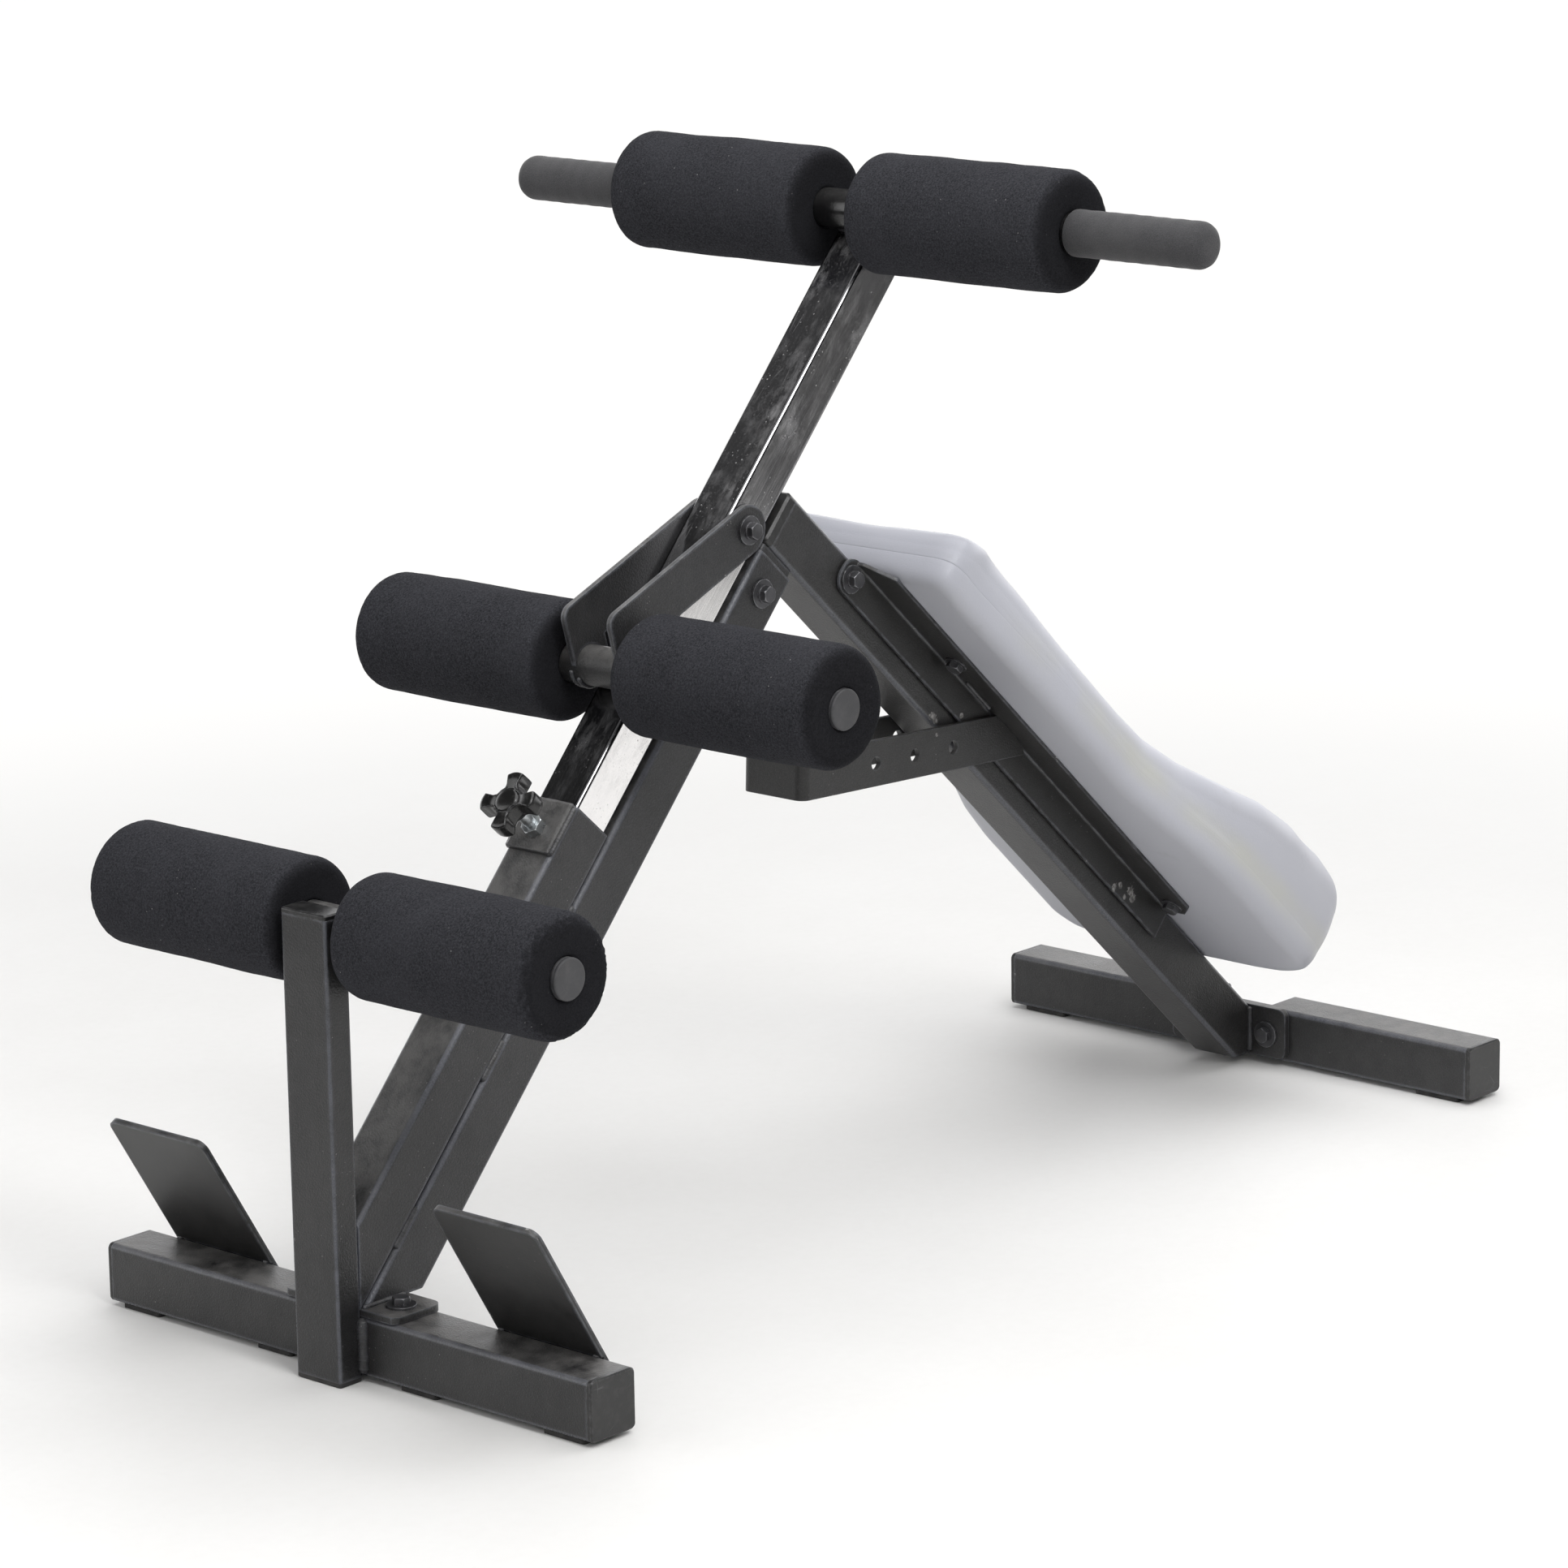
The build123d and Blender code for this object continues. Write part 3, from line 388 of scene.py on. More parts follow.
def hardware(name):
    """Blackened zinc bolts, nuts and washers with rubbed corners and a little rust."""
    g = material_graph(name)
    grain = g.noise(scale=420.0, detail=4.0, rough=0.6)
    cloud = g.noise(scale=55.0, detail=4.0)
    col = g.shades(g.ramp(cloud, over=(0.3, 0.7)), (0.085, 0.085, 0.09), dark=0.7, light=1.5)
    rub = g.mul(g.edges(radius=0.0012, over=(0.004, 0.035)),
                g.patches(scale=300.0, detail=3.0, over=(0.38, 0.62)))
    col = g.tint(col, rub, by=0.75, to=(0.42, 0.42, 0.44))
    rust = g.patches(scale=160.0, detail=5.0, rough=0.7, over=(0.60, 0.72))
    col = g.tint(col, rust, by=0.25, to=(0.09, 0.062, 0.048))
    return g.surface(Base_Color=col, Metallic=0.75,
                     Roughness=g.ramp(cloud, over=(0.3, 0.7), to=(0.29, 0.48)),
                     Normal=g.bump(grain, strength=0.12, distance=0.0003,
                                   normal=g.rounded(0.0006)))


def zinc(name):
    """Bright zinc plating."""
    g = material_graph(name)
    grain = g.noise(scale=500.0, detail=4.0)
    cloud = g.noise(scale=90.0, detail=5.0, rough=0.65)
    col = g.mix(g.ramp(cloud, over=(0.35, 0.7)), a=(0.36, 0.38, 0.39), b=(0.66, 0.69, 0.70))
    return g.surface(Base_Color=col, Metallic=1.0,
                     Roughness=g.ramp(cloud, over=(0.3, 0.7), to=(0.26, 0.42)),
                     Normal=g.bump(grain, strength=0.15, distance=0.0002,
                                   normal=g.rounded(0.0005)))


def plastic(name, base, rough, grain, wear, dust=0.5):
    """Moulded black plastic. grain is the depth of its texture."""
    g = material_graph(name)
    texture = g.noise(scale=700.0, detail=3.0, rough=0.6)
    cloud = g.noise(scale=35.0, detail=4.0)
    col = g.shades(g.ramp(cloud, over=(0.3, 0.7)), base, dark=0.85, light=1.25)
    film = g.mul(g.patches(scale=120.0, detail=5.0, rough=0.7, over=(0.48, 0.70)),
                 by=0.22 * dust)
    col = g.tint(col, film, to=(0.16, 0.155, 0.15))
    rub = g.mul(g.edges(radius=0.0016, over=(0.006, 0.05)),
                g.patches(scale=230.0, detail=3.0, over=(0.42, 0.64)))
    col = g.tint(col, rub, by=0.35 * wear, to=(0.22, 0.22, 0.23))
    scratch = g.mul(g.scratches((60, 130, 90), turn=(0.4, 0.2, 0.8), over=(0.012, 0.004)),
                    g.patches(scale=40.0, detail=2.0, over=(0.56, 0.66)))
    col = g.tint(col, scratch, by=0.35 * wear, to=(0.28, 0.28, 0.29))
    roughness = g.add(g.ramp(cloud, over=(0.3, 0.7), to=(rough - 0.03, rough + 0.07)),
                      g.mul(film, by=0.8))
    return g.surface(Base_Color=col, Roughness=roughness,
                     Normal=g.bump(texture, strength=grain, distance=0.0003,
                                   normal=g.rounded(0.0008)))


def roller_foam(name):
    """Closed-cell foam: matt blue-black, mottled grain, pale lint and grit caught in it."""
    base = (0.0300, 0.0304, 0.0348)
    g = material_graph(name)
    vec = g.scaled((1, 1, 1))
    cell = g.noise(scale=640.0, detail=4.0, rough=0.78, vec=vec)
    bubbles = g.voronoi(scale=520.0, vec=vec)
    medium = g.noise(scale=150.0, detail=4.0, rough=0.65, vec=vec)
    col = g.shades(g.ramp(cell, over=(0.36, 0.66)), base, dark=0.44, light=1.72)
    cloud = g.patches(scale=13.0, detail=5.0, rough=0.6, vec=vec, over=(0.40, 0.72))
    col = g.tint(col, cloud, by=0.35, to=tuple(c * 1.7 for c in base))
    lint = g.mul(g.dots(scale=300.0, vec=vec, over=(0.17, 0.08)),
                 g.patches(scale=70.0, detail=4.0, rough=0.7, vec=vec, over=(0.50, 0.62)))
    col = g.tint(col, lint, by=0.34, to=(0.115, 0.118, 0.130))
    fleck = g.mul(g.dots(scale=105.0, vec=vec, over=(0.060, 0.03)),
                  g.patches(scale=11.0, detail=2.0, vec=vec, over=(0.50, 0.58)))
    col = g.tint(col, fleck, by=0.85, to=(0.30, 0.29, 0.29))
    # painted shade: the end faces are darkened towards black, to hold down the light they catch
    # from the side
    painted_end_shade = g.ramp(g.absolute(g.part(g.normal, "Y")), over=(0.35, 1.0), smooth=True)
    col = g.tint(col, painted_end_shade, by=0.72, to=(0.007, 0.007, 0.008))
    dents = g.bump(medium, strength=0.12, distance=0.0009)
    skin = g.bump(g.add(cell, g.mul(bubbles, by=0.5)), strength=0.55, distance=0.0009,
                  normal=dents)
    return g.surface(Base_Color=col, Roughness=1.0, Normal=skin, Specular_IOR_Level=0.06)


def vinyl(name):
    """Pale blue-grey upholstery: fine leather grain, handling marks, yellowing by the seam."""
    g = material_graph(name)
    pores = g.voronoi(scale=620.0, feature="SMOOTH_F1", smooth=0.35)
    fine = g.noise(scale=900.0, detail=3.0, rough=0.6)
    crease = g.voronoi(scale=150.0, feature="DISTANCE_TO_EDGE")
    cloud = g.noise(scale=5.5, detail=5.0, rough=0.6)
    spot = g.noise(scale=33.0, detail=5.0, rough=0.65)
    col = g.shades(g.ramp(cloud, over=(0.30, 0.72)), (0.455, 0.462, 0.512),
                   dark=0.965, light=1.03)
    # height over the seam and distance down the pad
    origin = on_pad(0, 0, SEAM_UP)
    seam, start = origin.dot(PAD_UP), origin.dot(PAD_ALONG)
    height = g.dot(g.coord, PAD_UP)
    along = g.dot(g.coord, PAD_ALONG)
    off_seam = g.absolute(g.sub(height, seam + 0.004))
    sideways = g.absolute(g.part(g.normal, "Y"))
    band = g.mul(g.ramp(off_seam, over=(0.020, 0.002), smooth=True),
                 g.ramp(sideways, over=(0.6, 0.95)),
                 g.patches(scale=9.0, detail=4.0, over=(0.35, 0.62)),
                 g.ramp(g.sub(along, start), over=(0.07, 0.20)))
    col = g.tint(col, band, by=0.62, to=(0.50, 0.50, 0.42))
    shade = g.mul(g.ramp(sideways, over=(0.5, 0.95)),
                  g.ramp(g.sub(along, start), over=(0.34, 0.66)))
    col = g.tint(col, shade, by=0.42, to=(0.375, 0.378, 0.405))
    grime = g.mul(g.ramp(spot, over=(0.58, 0.74)),
                  g.patches(scale=14.0, detail=4.0, over=(0.52, 0.66)))
    col = g.tint(col, grime, by=0.20, to=(0.27, 0.265, 0.25))
    # painted shade: darker below the seam, where the cover rolls under towards the underside
    low = g.ramp(g.sub(height, seam), over=(-0.012, -0.022))
    col = g.tint(col, low, by=0.25, to=(0.30, 0.30, 0.31))
    dents = g.bump(spot, strength=0.05, distance=0.001)
    creased = g.bump(g.ramp(crease, over=(0.0, 0.10)), strength=0.06, distance=0.0003,
                     normal=dents)
    grain = g.bump(g.add(g.mul(pores, by=1.2), g.mul(fine, by=0.4)), strength=0.16,
                   distance=0.00025, normal=creased)
    roughness = g.add(g.ramp(cloud, over=(0.3, 0.7), to=(0.40, 0.50)), g.mul(grime, by=0.2))
    return g.surface(Base_Color=col, Roughness=roughness, Normal=grain, Specular_IOR_Level=0.45,
                     Sheen_Weight=0.05, Coat_Weight=0.06, Coat_Roughness=0.3)


def thread(name):
    """Twisted pale sewing thread."""
    g = material_graph(name)
    twist = g.noise(scale=1500.0, detail=2.0)
    col = g.mix(g.ramp(twist, over=(0.3, 0.7)), a=(0.33, 0.335, 0.37), b=(0.50, 0.505, 0.55))
    return g.surface(Base_Color=col, Roughness=0.7,
                     Normal=g.bump(twist, strength=0.3, distance=0.0002))


def grip_foam(name):
    """Dark grey foam rubber of the hand grips, with lint."""
    g = material_graph(name)
    fine = g.noise(scale=1100.0, detail=3.0, rough=0.7)
    cells = g.voronoi(scale=640.0)
    col = g.mix(g.ramp(fine, over=(0.3, 0.72)), a=(0.030, 0.030, 0.032), b=(0.072, 0.071, 0.075))
    cloud = g.patches(scale=18.0, detail=5.0, rough=0.6, over=(0.42, 0.7))
    col = g.tint(col, cloud, by=0.35, to=(0.095, 0.093, 0.094))
    lint = g.mul(g.dots(scale=300.0, over=(0.10, 0.05)),
                 g.patches(scale=45.0, detail=3.0, over=(0.54, 0.66)))
    col = g.tint(col, lint, by=0.4, to=(0.24, 0.24, 0.24))
    return g.surface(Base_Color=col, Roughness=0.82, Specular_IOR_Level=0.35, Sheen_Weight=0.1,
                     Normal=g.bump(g.add(fine, g.mul(cells, by=0.6)), strength=0.40,
                                   distance=0.00045))


def rubber(name):
    """Dusty black rubber feet."""
    g = material_graph(name)
    grain = g.noise(scale=600.0, detail=3.0, rough=0.7)
    col = g.mix(g.patches(scale=60.0, detail=4.0, over=(0.35, 0.7)),
                a=(0.016, 0.016, 0.016), b=(0.05, 0.048, 0.046))
    return g.surface(Base_Color=col, Roughness=0.78,
                     Normal=g.bump(grain, strength=0.3, distance=0.0004))


def plywood(name):
    """Birch ply, its layers stacked along the pad's thickness."""
    layer_pitch = 0.003
    g = material_graph(name)
    height = g.dot(g.coord, PAD_UP)
    grain = g.noise(scale=1.0, detail=5.0, rough=0.6, vec=g.scaled((30, 260, 30)))
    layers = g.calc("SINE", g.mul(height, by=2 * math.pi / layer_pitch))
    col = g.mix(g.ramp(grain, over=(0.3, 0.7)), a=(0.42, 0.28, 0.15), b=(0.60, 0.43, 0.26))
    col = g.tint(col, g.ramp(layers, over=(-0.2, 0.4)), by=0.35, to=(0.30, 0.19, 0.10))
    return g.surface(Base_Color=col, Roughness=0.7,
                     Normal=g.bump(grain, strength=0.3, distance=0.0004))


MATERIALS = {
    "paint": paint("powder_coat_satin", rough=0.34, faces=BENCH_FACES),
    "bar": paint("powder_coat_bar", rough=0.34),
    "topbar": paint("powder_coat_top_bar", base=(0.0085, 0.0085, 0.0092), rough=0.20,
                    pebble=0.12, peel=0.5, dust=0.22, flake=0.1, spec=0.6),
    "postcap": plastic("post_cap_plastic", base=(0.0085, 0.0085, 0.0088), rough=0.26,
                       grain=0.14, wear=1.0, dust=0.6),
    "collar": paint("powder_coat_collar", base=(0.0150, 0.0150, 0.0165), rough=0.36,
                    grain=670.0, peel=0.8, wear=0.45, flake=0.4, edge=0.0016, rounding=0.0008),
    # painted light: this coat's black is lifted above the plain paint to brighten the leg's dim
    # faces
    "leg": paint("powder_coat_leg", base=(0.0235, 0.0232, 0.0232), pebble=0.50,
                 faces=PAD_FACES, chips=LEG_CHIPS),
    # painted light: this coat's black is lifted above the plain paint to brighten the sleeve's
    # and strut's dim faces
    "textured": paint("powder_coat_textured", base=(0.0225, 0.0225, 0.0245), grain=670.0,
                      peel=0.8, wear=1.6, flake=0.55, faces=MAST_FACES),
    "plate": paint("powder_coat_plate", base=(0.0125, 0.0125, 0.0128), rough=0.40,
                   pebble=0.20, wear=1.5, dust=0.8, flake=0.2),
    "arm": paint("powder_coat_arm", base=(0.0245, 0.0245, 0.0262), rough=0.36, grain=690.0,
                 pebble=0.5, wear=1.6, flake=0.6),
    # painted light: this coat's black is lifted above the plain paint to brighten the rails' dim
    # faces
    "rail": paint("powder_coat_rail", base=(0.0210, 0.0206, 0.0204), rough=0.40,
                  pebble=0.26, wear=1.5, dust=0.5, chips=RAIL_CHIPS),
    "bracket": paint("powder_coat_bracket", base=(0.0200, 0.0197, 0.0195), pebble=0.35,
                     wear=0.7, dust=0.5, edge=0.0016, chips=BRACKET_HIGHLIGHT_SPOTS),
    "tab": paint("powder_coat_tab", base=(0.0260, 0.0258, 0.0265), rough=0.36, grain=670.0,
                 pebble=0.5, wear=1.3, edge=0.0022, flake=0.5),
    "weld": paint("painted_weld", base=(0.0185, 0.0185, 0.0200), rough=0.36, grain=700.0,
                  pebble=0.3, peel=1.0, wear=0.6),
    "chrome": chrome("scuffed_chrome"),
    "hardware": hardware("black_zinc"),
    "zinc": zinc("bright_zinc"),
    "cap": plastic("cap_plastic", base=(0.016, 0.016, 0.016), rough=0.36, grain=0.25, wear=1.0),
    "disc": plastic("disc_rubber", base=(0.040, 0.040, 0.043), rough=0.55, grain=0.35,
                    wear=0.5, dust=1.0),
    "knob": plastic("knob_plastic", base=(0.0085, 0.0083, 0.0082), rough=0.16, grain=0.05,
                    wear=1.2),
    "foot": rubber("foot_rubber"),
    "foam": roller_foam("roller_foam"),
    "grip": grip_foam("grip_foam"),
    "vinyl": vinyl("pad_vinyl"),
    "thread": thread("seam_thread"),      # kept in the set, no piece wears it
    "ply": plywood("birch_ply"),
}

# Which CAD pieces wear which material; the rest are foam or paint.
PIECES = {
    "bar": "low_bar strut_stub ankle_bar",
    "topbar": "top_bar",
    "postcap": "post_top_cap",
    "collar": "sleeve_collar",
    "leg": "rear_leg",
    "textured": "outer_sleeve strut_tube",
    "plate": "footplate_left footplate_right",
    "arm": "ankle_plate_left ankle_plate_right",
    "rail": "pad_rail_left pad_rail_right",
    "bracket": "u_bracket",
    "tab": "front_tab_plate rear_tab_plate",
    "weld": "stitch_welds",
    "chrome": "mast_tube",
    "hardware": "tab_bolts tab_washers strut_bolt pivot_bolt frame_washers frame_nuts "
                "frame_spring_washers ankle_spring_washer ankle_bolt ankle_washers ankle_nut "
                "pad_bolts pad_washers",
    "zinc": "collar_nut tab_nuts pad_t_nuts clamp_screw",
    "cap": "front_end_caps leg_top_plug rear_end_caps mast_top_plug",
    "disc": "low_bar_caps ankle_bar_caps",
    "knob": "clamp_knob",
    "foot": "front_feet post_foot_cap rear_feet",
    "grip": "grip_left grip_right",
    "vinyl": "pad_cushion",
    "ply": "pad_board",
}
MATERIAL_OF = {piece: key for key, names in PIECES.items() for piece in names.split()}

for name, piece in NODES.items():
    material = MATERIALS[MATERIAL_OF.get(name, "foam" if "foam" in name else "paint")]
    for i in range(len(piece.data.materials)):
        piece.data.materials[i] = material
    if not piece.data.materials:
        piece.data.materials.append(material)
    for material_slot in piece.material_slots:
        material_slot.link = "OBJECT"
        material_slot.material = material


# ------------------------------------------------------------------ mesh helpers
def new_mesh(name, verts, faces, material, body, replaces=None):
    mesh = bpy.data.meshes.new(name)
    mesh.from_pydata([tuple(v) for v in verts], [], faces)
    mesh.validate()
    mesh.polygons.foreach_set("use_smooth", [True] * len(mesh.polygons))
    mesh.materials.append(MATERIALS[material])
    obj = bpy.data.objects.new(name, mesh)
    scene.collection.objects.link(obj)
    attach(obj, body)
    if replaces:
        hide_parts(replaces)
    bm = bmesh.new()
    bm.from_mesh(mesh)
    bmesh.ops.recalc_face_normals(bm, faces=bm.faces)
    bm.to_mesh(mesh)
    bm.free()


def bridge(a, b, n, flip=False):
    """Quads between the rings of n vertices that start at a and b."""
    pairs = [(i, (i + 1) % n) for i in range(n)]
    if flip:
        return [(a + j, a + i, b + i, b + j) for i, j in pairs]
    return [(a + i, a + j, b + j, b + i) for i, j in pairs]


def fan(ring, n, tip, flip=False):
    """Triangles from a ring of n vertices to a tip vertex."""
    pairs = [(ring + i, ring + (i + 1) % n) for i in range(n)]
    return [(j, i, tip) if flip else (i, j, tip) for i, j in pairs]


def ring_faces(rows, n, close_rows=False):
    faces = []
    for r in range(rows if close_rows else rows - 1):
        faces += bridge(r * n, ((r + 1) % rows) * n, n)
    return faces


def arc(centre_x, centre_y, radius, start, end, count):
    angles = [start + (end - start) * i / (count - 1) for i in range(count)]
    return [(centre_x + radius * math.cos(a), centre_y + radius * math.sin(a)) for a in angles]


def full_turn(n):
    return [2 * math.pi * k / n for k in range(n)]


# ------------------------------------------------------------------ roller foams
FOAM_RADIUS = 50.6
FOAM_BORE = 17.35
FOAM_INNER_ROUND = 11.0
FOAM_OUTER_ROUND = 12.5
FOAM_SEGMENTS = 150
FOAM_STEPS = 74                           # along the straight part

# name, bar axis, y of the inner and outer ends, seed, crumbling of the left and right rims
ROLLERS = (
    ("low", LOW_BAR, 32.5, 244.3, 1, {"left": 0.8, "right": 4.2}),
    ("mid", ANKLE_BAR, 41.0, 252.7, 2, {"left": 0.5, "right": 0.5}),
    ("top", TOP_BAR, 28.0, 238.8, 3, {"left": 0.9, "right": 0.9}),
)


def roller_profile(length):
    """(distance from the inner end, radius), from the bore round the outside and back."""
    bore, inner, outer = FOAM_BORE, FOAM_INNER_ROUND, FOAM_OUTER_ROUND
    straight = length - inner - outer
    return [
        (1.6, bore), (0.7, bore + 0.6), (0.55, bore + 2.5), (0.5, bore + 7), (0.25, bore + 14),
        (0.0, FOAM_RADIUS - inner - 3),
        *arc(inner, FOAM_RADIUS - inner, inner, math.pi, math.pi / 2, 12),
        *[(inner + straight * i / FOAM_STEPS, FOAM_RADIUS) for i in range(1, FOAM_STEPS)],
        *arc(length - outer, FOAM_RADIUS - outer, outer, math.pi / 2, 0, 13),
        (length, FOAM_RADIUS - outer - 3), (length - 0.4, bore + 13), (length - 0.9, bore + 6),
        (length - 1.2, bore + 2.2), (length - 1.7, bore + 0.7), (length - 2.8, bore)]


def roller(name, body, centre, inner_y, outer_y, side, seed, crumb, replaces):
    """Thick foam sleeve: rounded ends, faces that dip towards the bar, uneven girth."""
    length = outer_y - inner_y
    profile = roller_profile(length)
    shift = Vector((seed * 13.7, seed * 5.1, seed * 9.3))
    verts = []
    for along, radius in profile:
        # 0 at the bore, 1 well outside it: the bore stays true
        outer = max(0.0, min(1.0, (radius - FOAM_BORE - 4) / 20.0))
        belly = 0.35 * math.sin(math.pi * min(1, max(0, along / length)))
        rim = math.exp(-((along - (length - 5)) / 7.0) ** 2) * outer
        near_end = along < 0.1 * length or along > 0.9 * length
        for a in full_turn(FOAM_SEGMENTS):
            p = Vector((math.cos(a) * radius, side * (inner_y + along), math.sin(a) * radius))
            q = p * 0.018 + shift
            swell = 0.75 * noise.noise(q) + 0.35 * noise.noise(q * 2.7 + Vector((4, 4, 4)))
            swell += 0.10 * noise.noise(p * 0.22 + shift) + 0.07 * noise.noise(p * 0.55 + shift)
            swell += belly
            pits = noise.noise(p * 0.23 + shift * 2) + 0.3 * noise.noise(p * 0.7 + shift)
            swell -= crumb * rim * (max(0.0, pits) + 0.35 * abs(noise.noise(p * 0.5 + shift)))
            girth = radius + swell * outer
            slip = 0.0
            if near_end:
                slip = outer * (0.5 * noise.noise(q * 1.4 + Vector((9, 1, 3))))
            y = side * (inner_y + along + slip)
            verts.append(Vector((math.cos(a) * girth, y, math.sin(a) * girth)) * MM + centre)
    faces = ring_faces(len(profile), FOAM_SEGMENTS, close_rows=True)
    if side > 0:
        faces = [tuple(reversed(face)) for face in faces]
    new_mesh(name, verts, faces, "foam", body, replaces)


for side, side_name in SIDES:
    for height, centre, inner_y, outer_y, seed, crumb in ROLLERS:
        foam = f"{height}_foam_{side_name}"
        roller(f"{foam}_sleeve", f"{height}_roller_{side_name}", centre, inner_y, outer_y,
               side, seed + side * 0.3, crumb[side_name], foam)


# ------------------------------------------------------------------ hand grips
GRIP_RADIUS = 19.5
GRIP_BORE = 17.05
GRIP_INNER_Y, GRIP_OUTER_Y = 240.8, 378.7
GRIP_BORE_Y = 374.5 + 0.1                 # end of the blind bore, just past the bar end
GRIP_LIP = 1.6                            # rounding of the open end
GRIP_NOSE = 11.5                          # rounding of the closed end
GRIP_STEPS = 52
GRIP_SEGMENTS = 96


def hand_grip(side, side_name, seed):
    """Foam cover on the end of the top bar, closed at its outer end."""
    length = GRIP_OUTER_Y - GRIP_INNER_Y
    straight = length - GRIP_LIP - GRIP_NOSE
    profile = [                           # distance from the open end, radius
        (0.0, GRIP_BORE), (0.0, GRIP_RADIUS - GRIP_LIP),
        *arc(GRIP_LIP, GRIP_RADIUS - GRIP_LIP, GRIP_LIP, math.pi, math.pi / 2, 5),
        *[(GRIP_LIP + straight * i / GRIP_STEPS, GRIP_RADIUS + 0.12 * math.sin(i * 0.9))
          for i in range(1, GRIP_STEPS)],
        *arc(length - GRIP_NOSE, GRIP_RADIUS - GRIP_NOSE, GRIP_NOSE, math.pi / 2, 0.12, 12),
        (length + 0.25, 4.0), (length + 0.3, 1.2)]
    n = GRIP_SEGMENTS
    shift = Vector((seed, seed * 2, 1))

    def place(x, y, z):
        return Vector((x, y, z)) * MM + TOP_BAR

    verts = []
    for along, radius in profile:
        for a in full_turn(n):
            p = Vector((math.cos(a) * radius, side * (GRIP_INNER_Y + along),
                        math.sin(a) * radius))
            girth = radius
            if 1 < along < length - 1:
                girth += 0.18 * noise.noise(p * 0.05 + shift)
                girth += 0.05 * noise.noise(p * 0.4 + shift)
            verts.append(place(math.cos(a) * girth, p.y, math.sin(a) * girth))
    faces = ring_faces(len(profile), n)
    faces += fan((len(profile) - 1) * n, n, len(verts))
    verts.append(place(0, side * (GRIP_OUTER_Y + 0.3), 0))
    # blind bore that the bar end sits in
    bore_end = len(verts)
    bore_y = side * GRIP_BORE_Y
    verts += [place(math.cos(a) * GRIP_BORE, bore_y, math.sin(a) * GRIP_BORE)
              for a in full_turn(n)]
    faces += bridge(0, bore_end, n, flip=True)
    faces += fan(bore_end, n, len(verts), flip=True)
    verts.append(place(0, bore_y, 0))
    new_mesh(f"grip_{side_name}_cover", verts, faces, "grip", "mast",
             f"grip_{side_name}")


for (side, side_name), seed in zip(SIDES, (3.0, 8.0)):
    hand_grip(side, side_name, seed)

# ------------------------------------------------------------------ clamp knob
KNOB_CENTRE = on_mast(457.0, 0, -122.0)   # on the knob's inner face
KNOB_TURN = math.radians(12)              # angle of the first arm from the mast direction
KNOB_TIP = 26.5
KNOB_HOLLOW_AT, KNOB_HOLLOW = 23.6, 11.2  # distance and radius of the circles between arms
KNOB_BLEND = 1.1                          # softness of the bend from flank to tip
KNOB_SEGMENTS = 240
# Heights are out from the inner face.
KNOB_SIDE = (                             # height, inset from the outline
    (0.0, 3.2), (0.0, 1.2), (0.5, 0.35), (1.4, 0.0), (4.5, -0.25), (10.5, -0.1), (13.6, 0.0),
    (14.7, 0.45), (15.3, 1.5), (15.5, 3.2))
KNOB_HUB = (                              # radius, height: ring groove, then raised hub
    (12.4, 15.4), (11.7, 14.6), (10.9, 14.6), (10.3, 15.6), (9.6, 16.1), (6.0, 16.4),
    (2.0, 16.5))
KNOB_BOSS = (                             # radius, height: boss, then the bore in it
    (11.5, 0.0), (10.8, -0.4), (10.2, -2.6), (9.6, -3.0), (5.25, -3.0), (5.1, 11.2), (1.0, 11.2))


def knob_radius(angle):
    """Outline of four arms with hollow flanks and blunt, slightly domed tips."""
    quarter = math.pi / 2
    off_arm = (angle - KNOB_TURN + quarter / 2) % quarter - quarter / 2
    tip = KNOB_TIP - 0.9 * (off_arm / 0.30) ** 2
    off_hollow = math.pi / 4 - abs(off_arm)
    under_root = KNOB_HOLLOW ** 2 - (KNOB_HOLLOW_AT * math.sin(off_hollow)) ** 2
    flank = 60.0                          # far outside: only the tip counts
    if under_root > 0:
        flank = min(flank, KNOB_HOLLOW_AT * math.cos(off_hollow) - math.sqrt(under_root))
    return -KNOB_BLEND * math.log(math.exp(-tip / KNOB_BLEND) + math.exp(-flank / KNOB_BLEND))


def star_knob():
    n = KNOB_SEGMENTS
    out = -MAST_UNDER
    across = out.cross(MAST_UP)
    angles = full_turn(n)

    def place(angle, radius, height):
        flat = MAST_UP * (math.cos(angle) * radius) + across * (math.sin(angle) * radius)
        return KNOB_CENTRE + (flat + out * height) * MM

    verts = [place(a, max(4.0, knob_radius(a) - inset), height)
             for height, inset in KNOB_SIDE for a in angles]
    faces = ring_faces(len(KNOB_SIDE), n)

    def close(ring, levels, flip):
        """Closes the opening at `ring` through round levels to a point."""
        for radius, height in levels:
            faces.extend(bridge(ring, len(verts), n, flip))
            ring = len(verts)
            verts.extend([place(a, radius, height) for a in angles])
        faces.extend(fan(ring, n, len(verts), flip))
        verts.append(KNOB_CENTRE + out * (levels[-1][1] * MM))

    close((len(KNOB_SIDE) - 1) * n, KNOB_HUB, flip=False)
    close(0, KNOB_BOSS, flip=True)
    new_mesh("star_knob", verts, faces, "knob", "knob", "clamp_knob")


star_knob()

# ------------------------------------------------------------------ weld beads
BEAD_STEP = 0.0007                        # metres between rings
BEAD_SEGMENTS = 12
RIPPLE_PITCH = 2.6


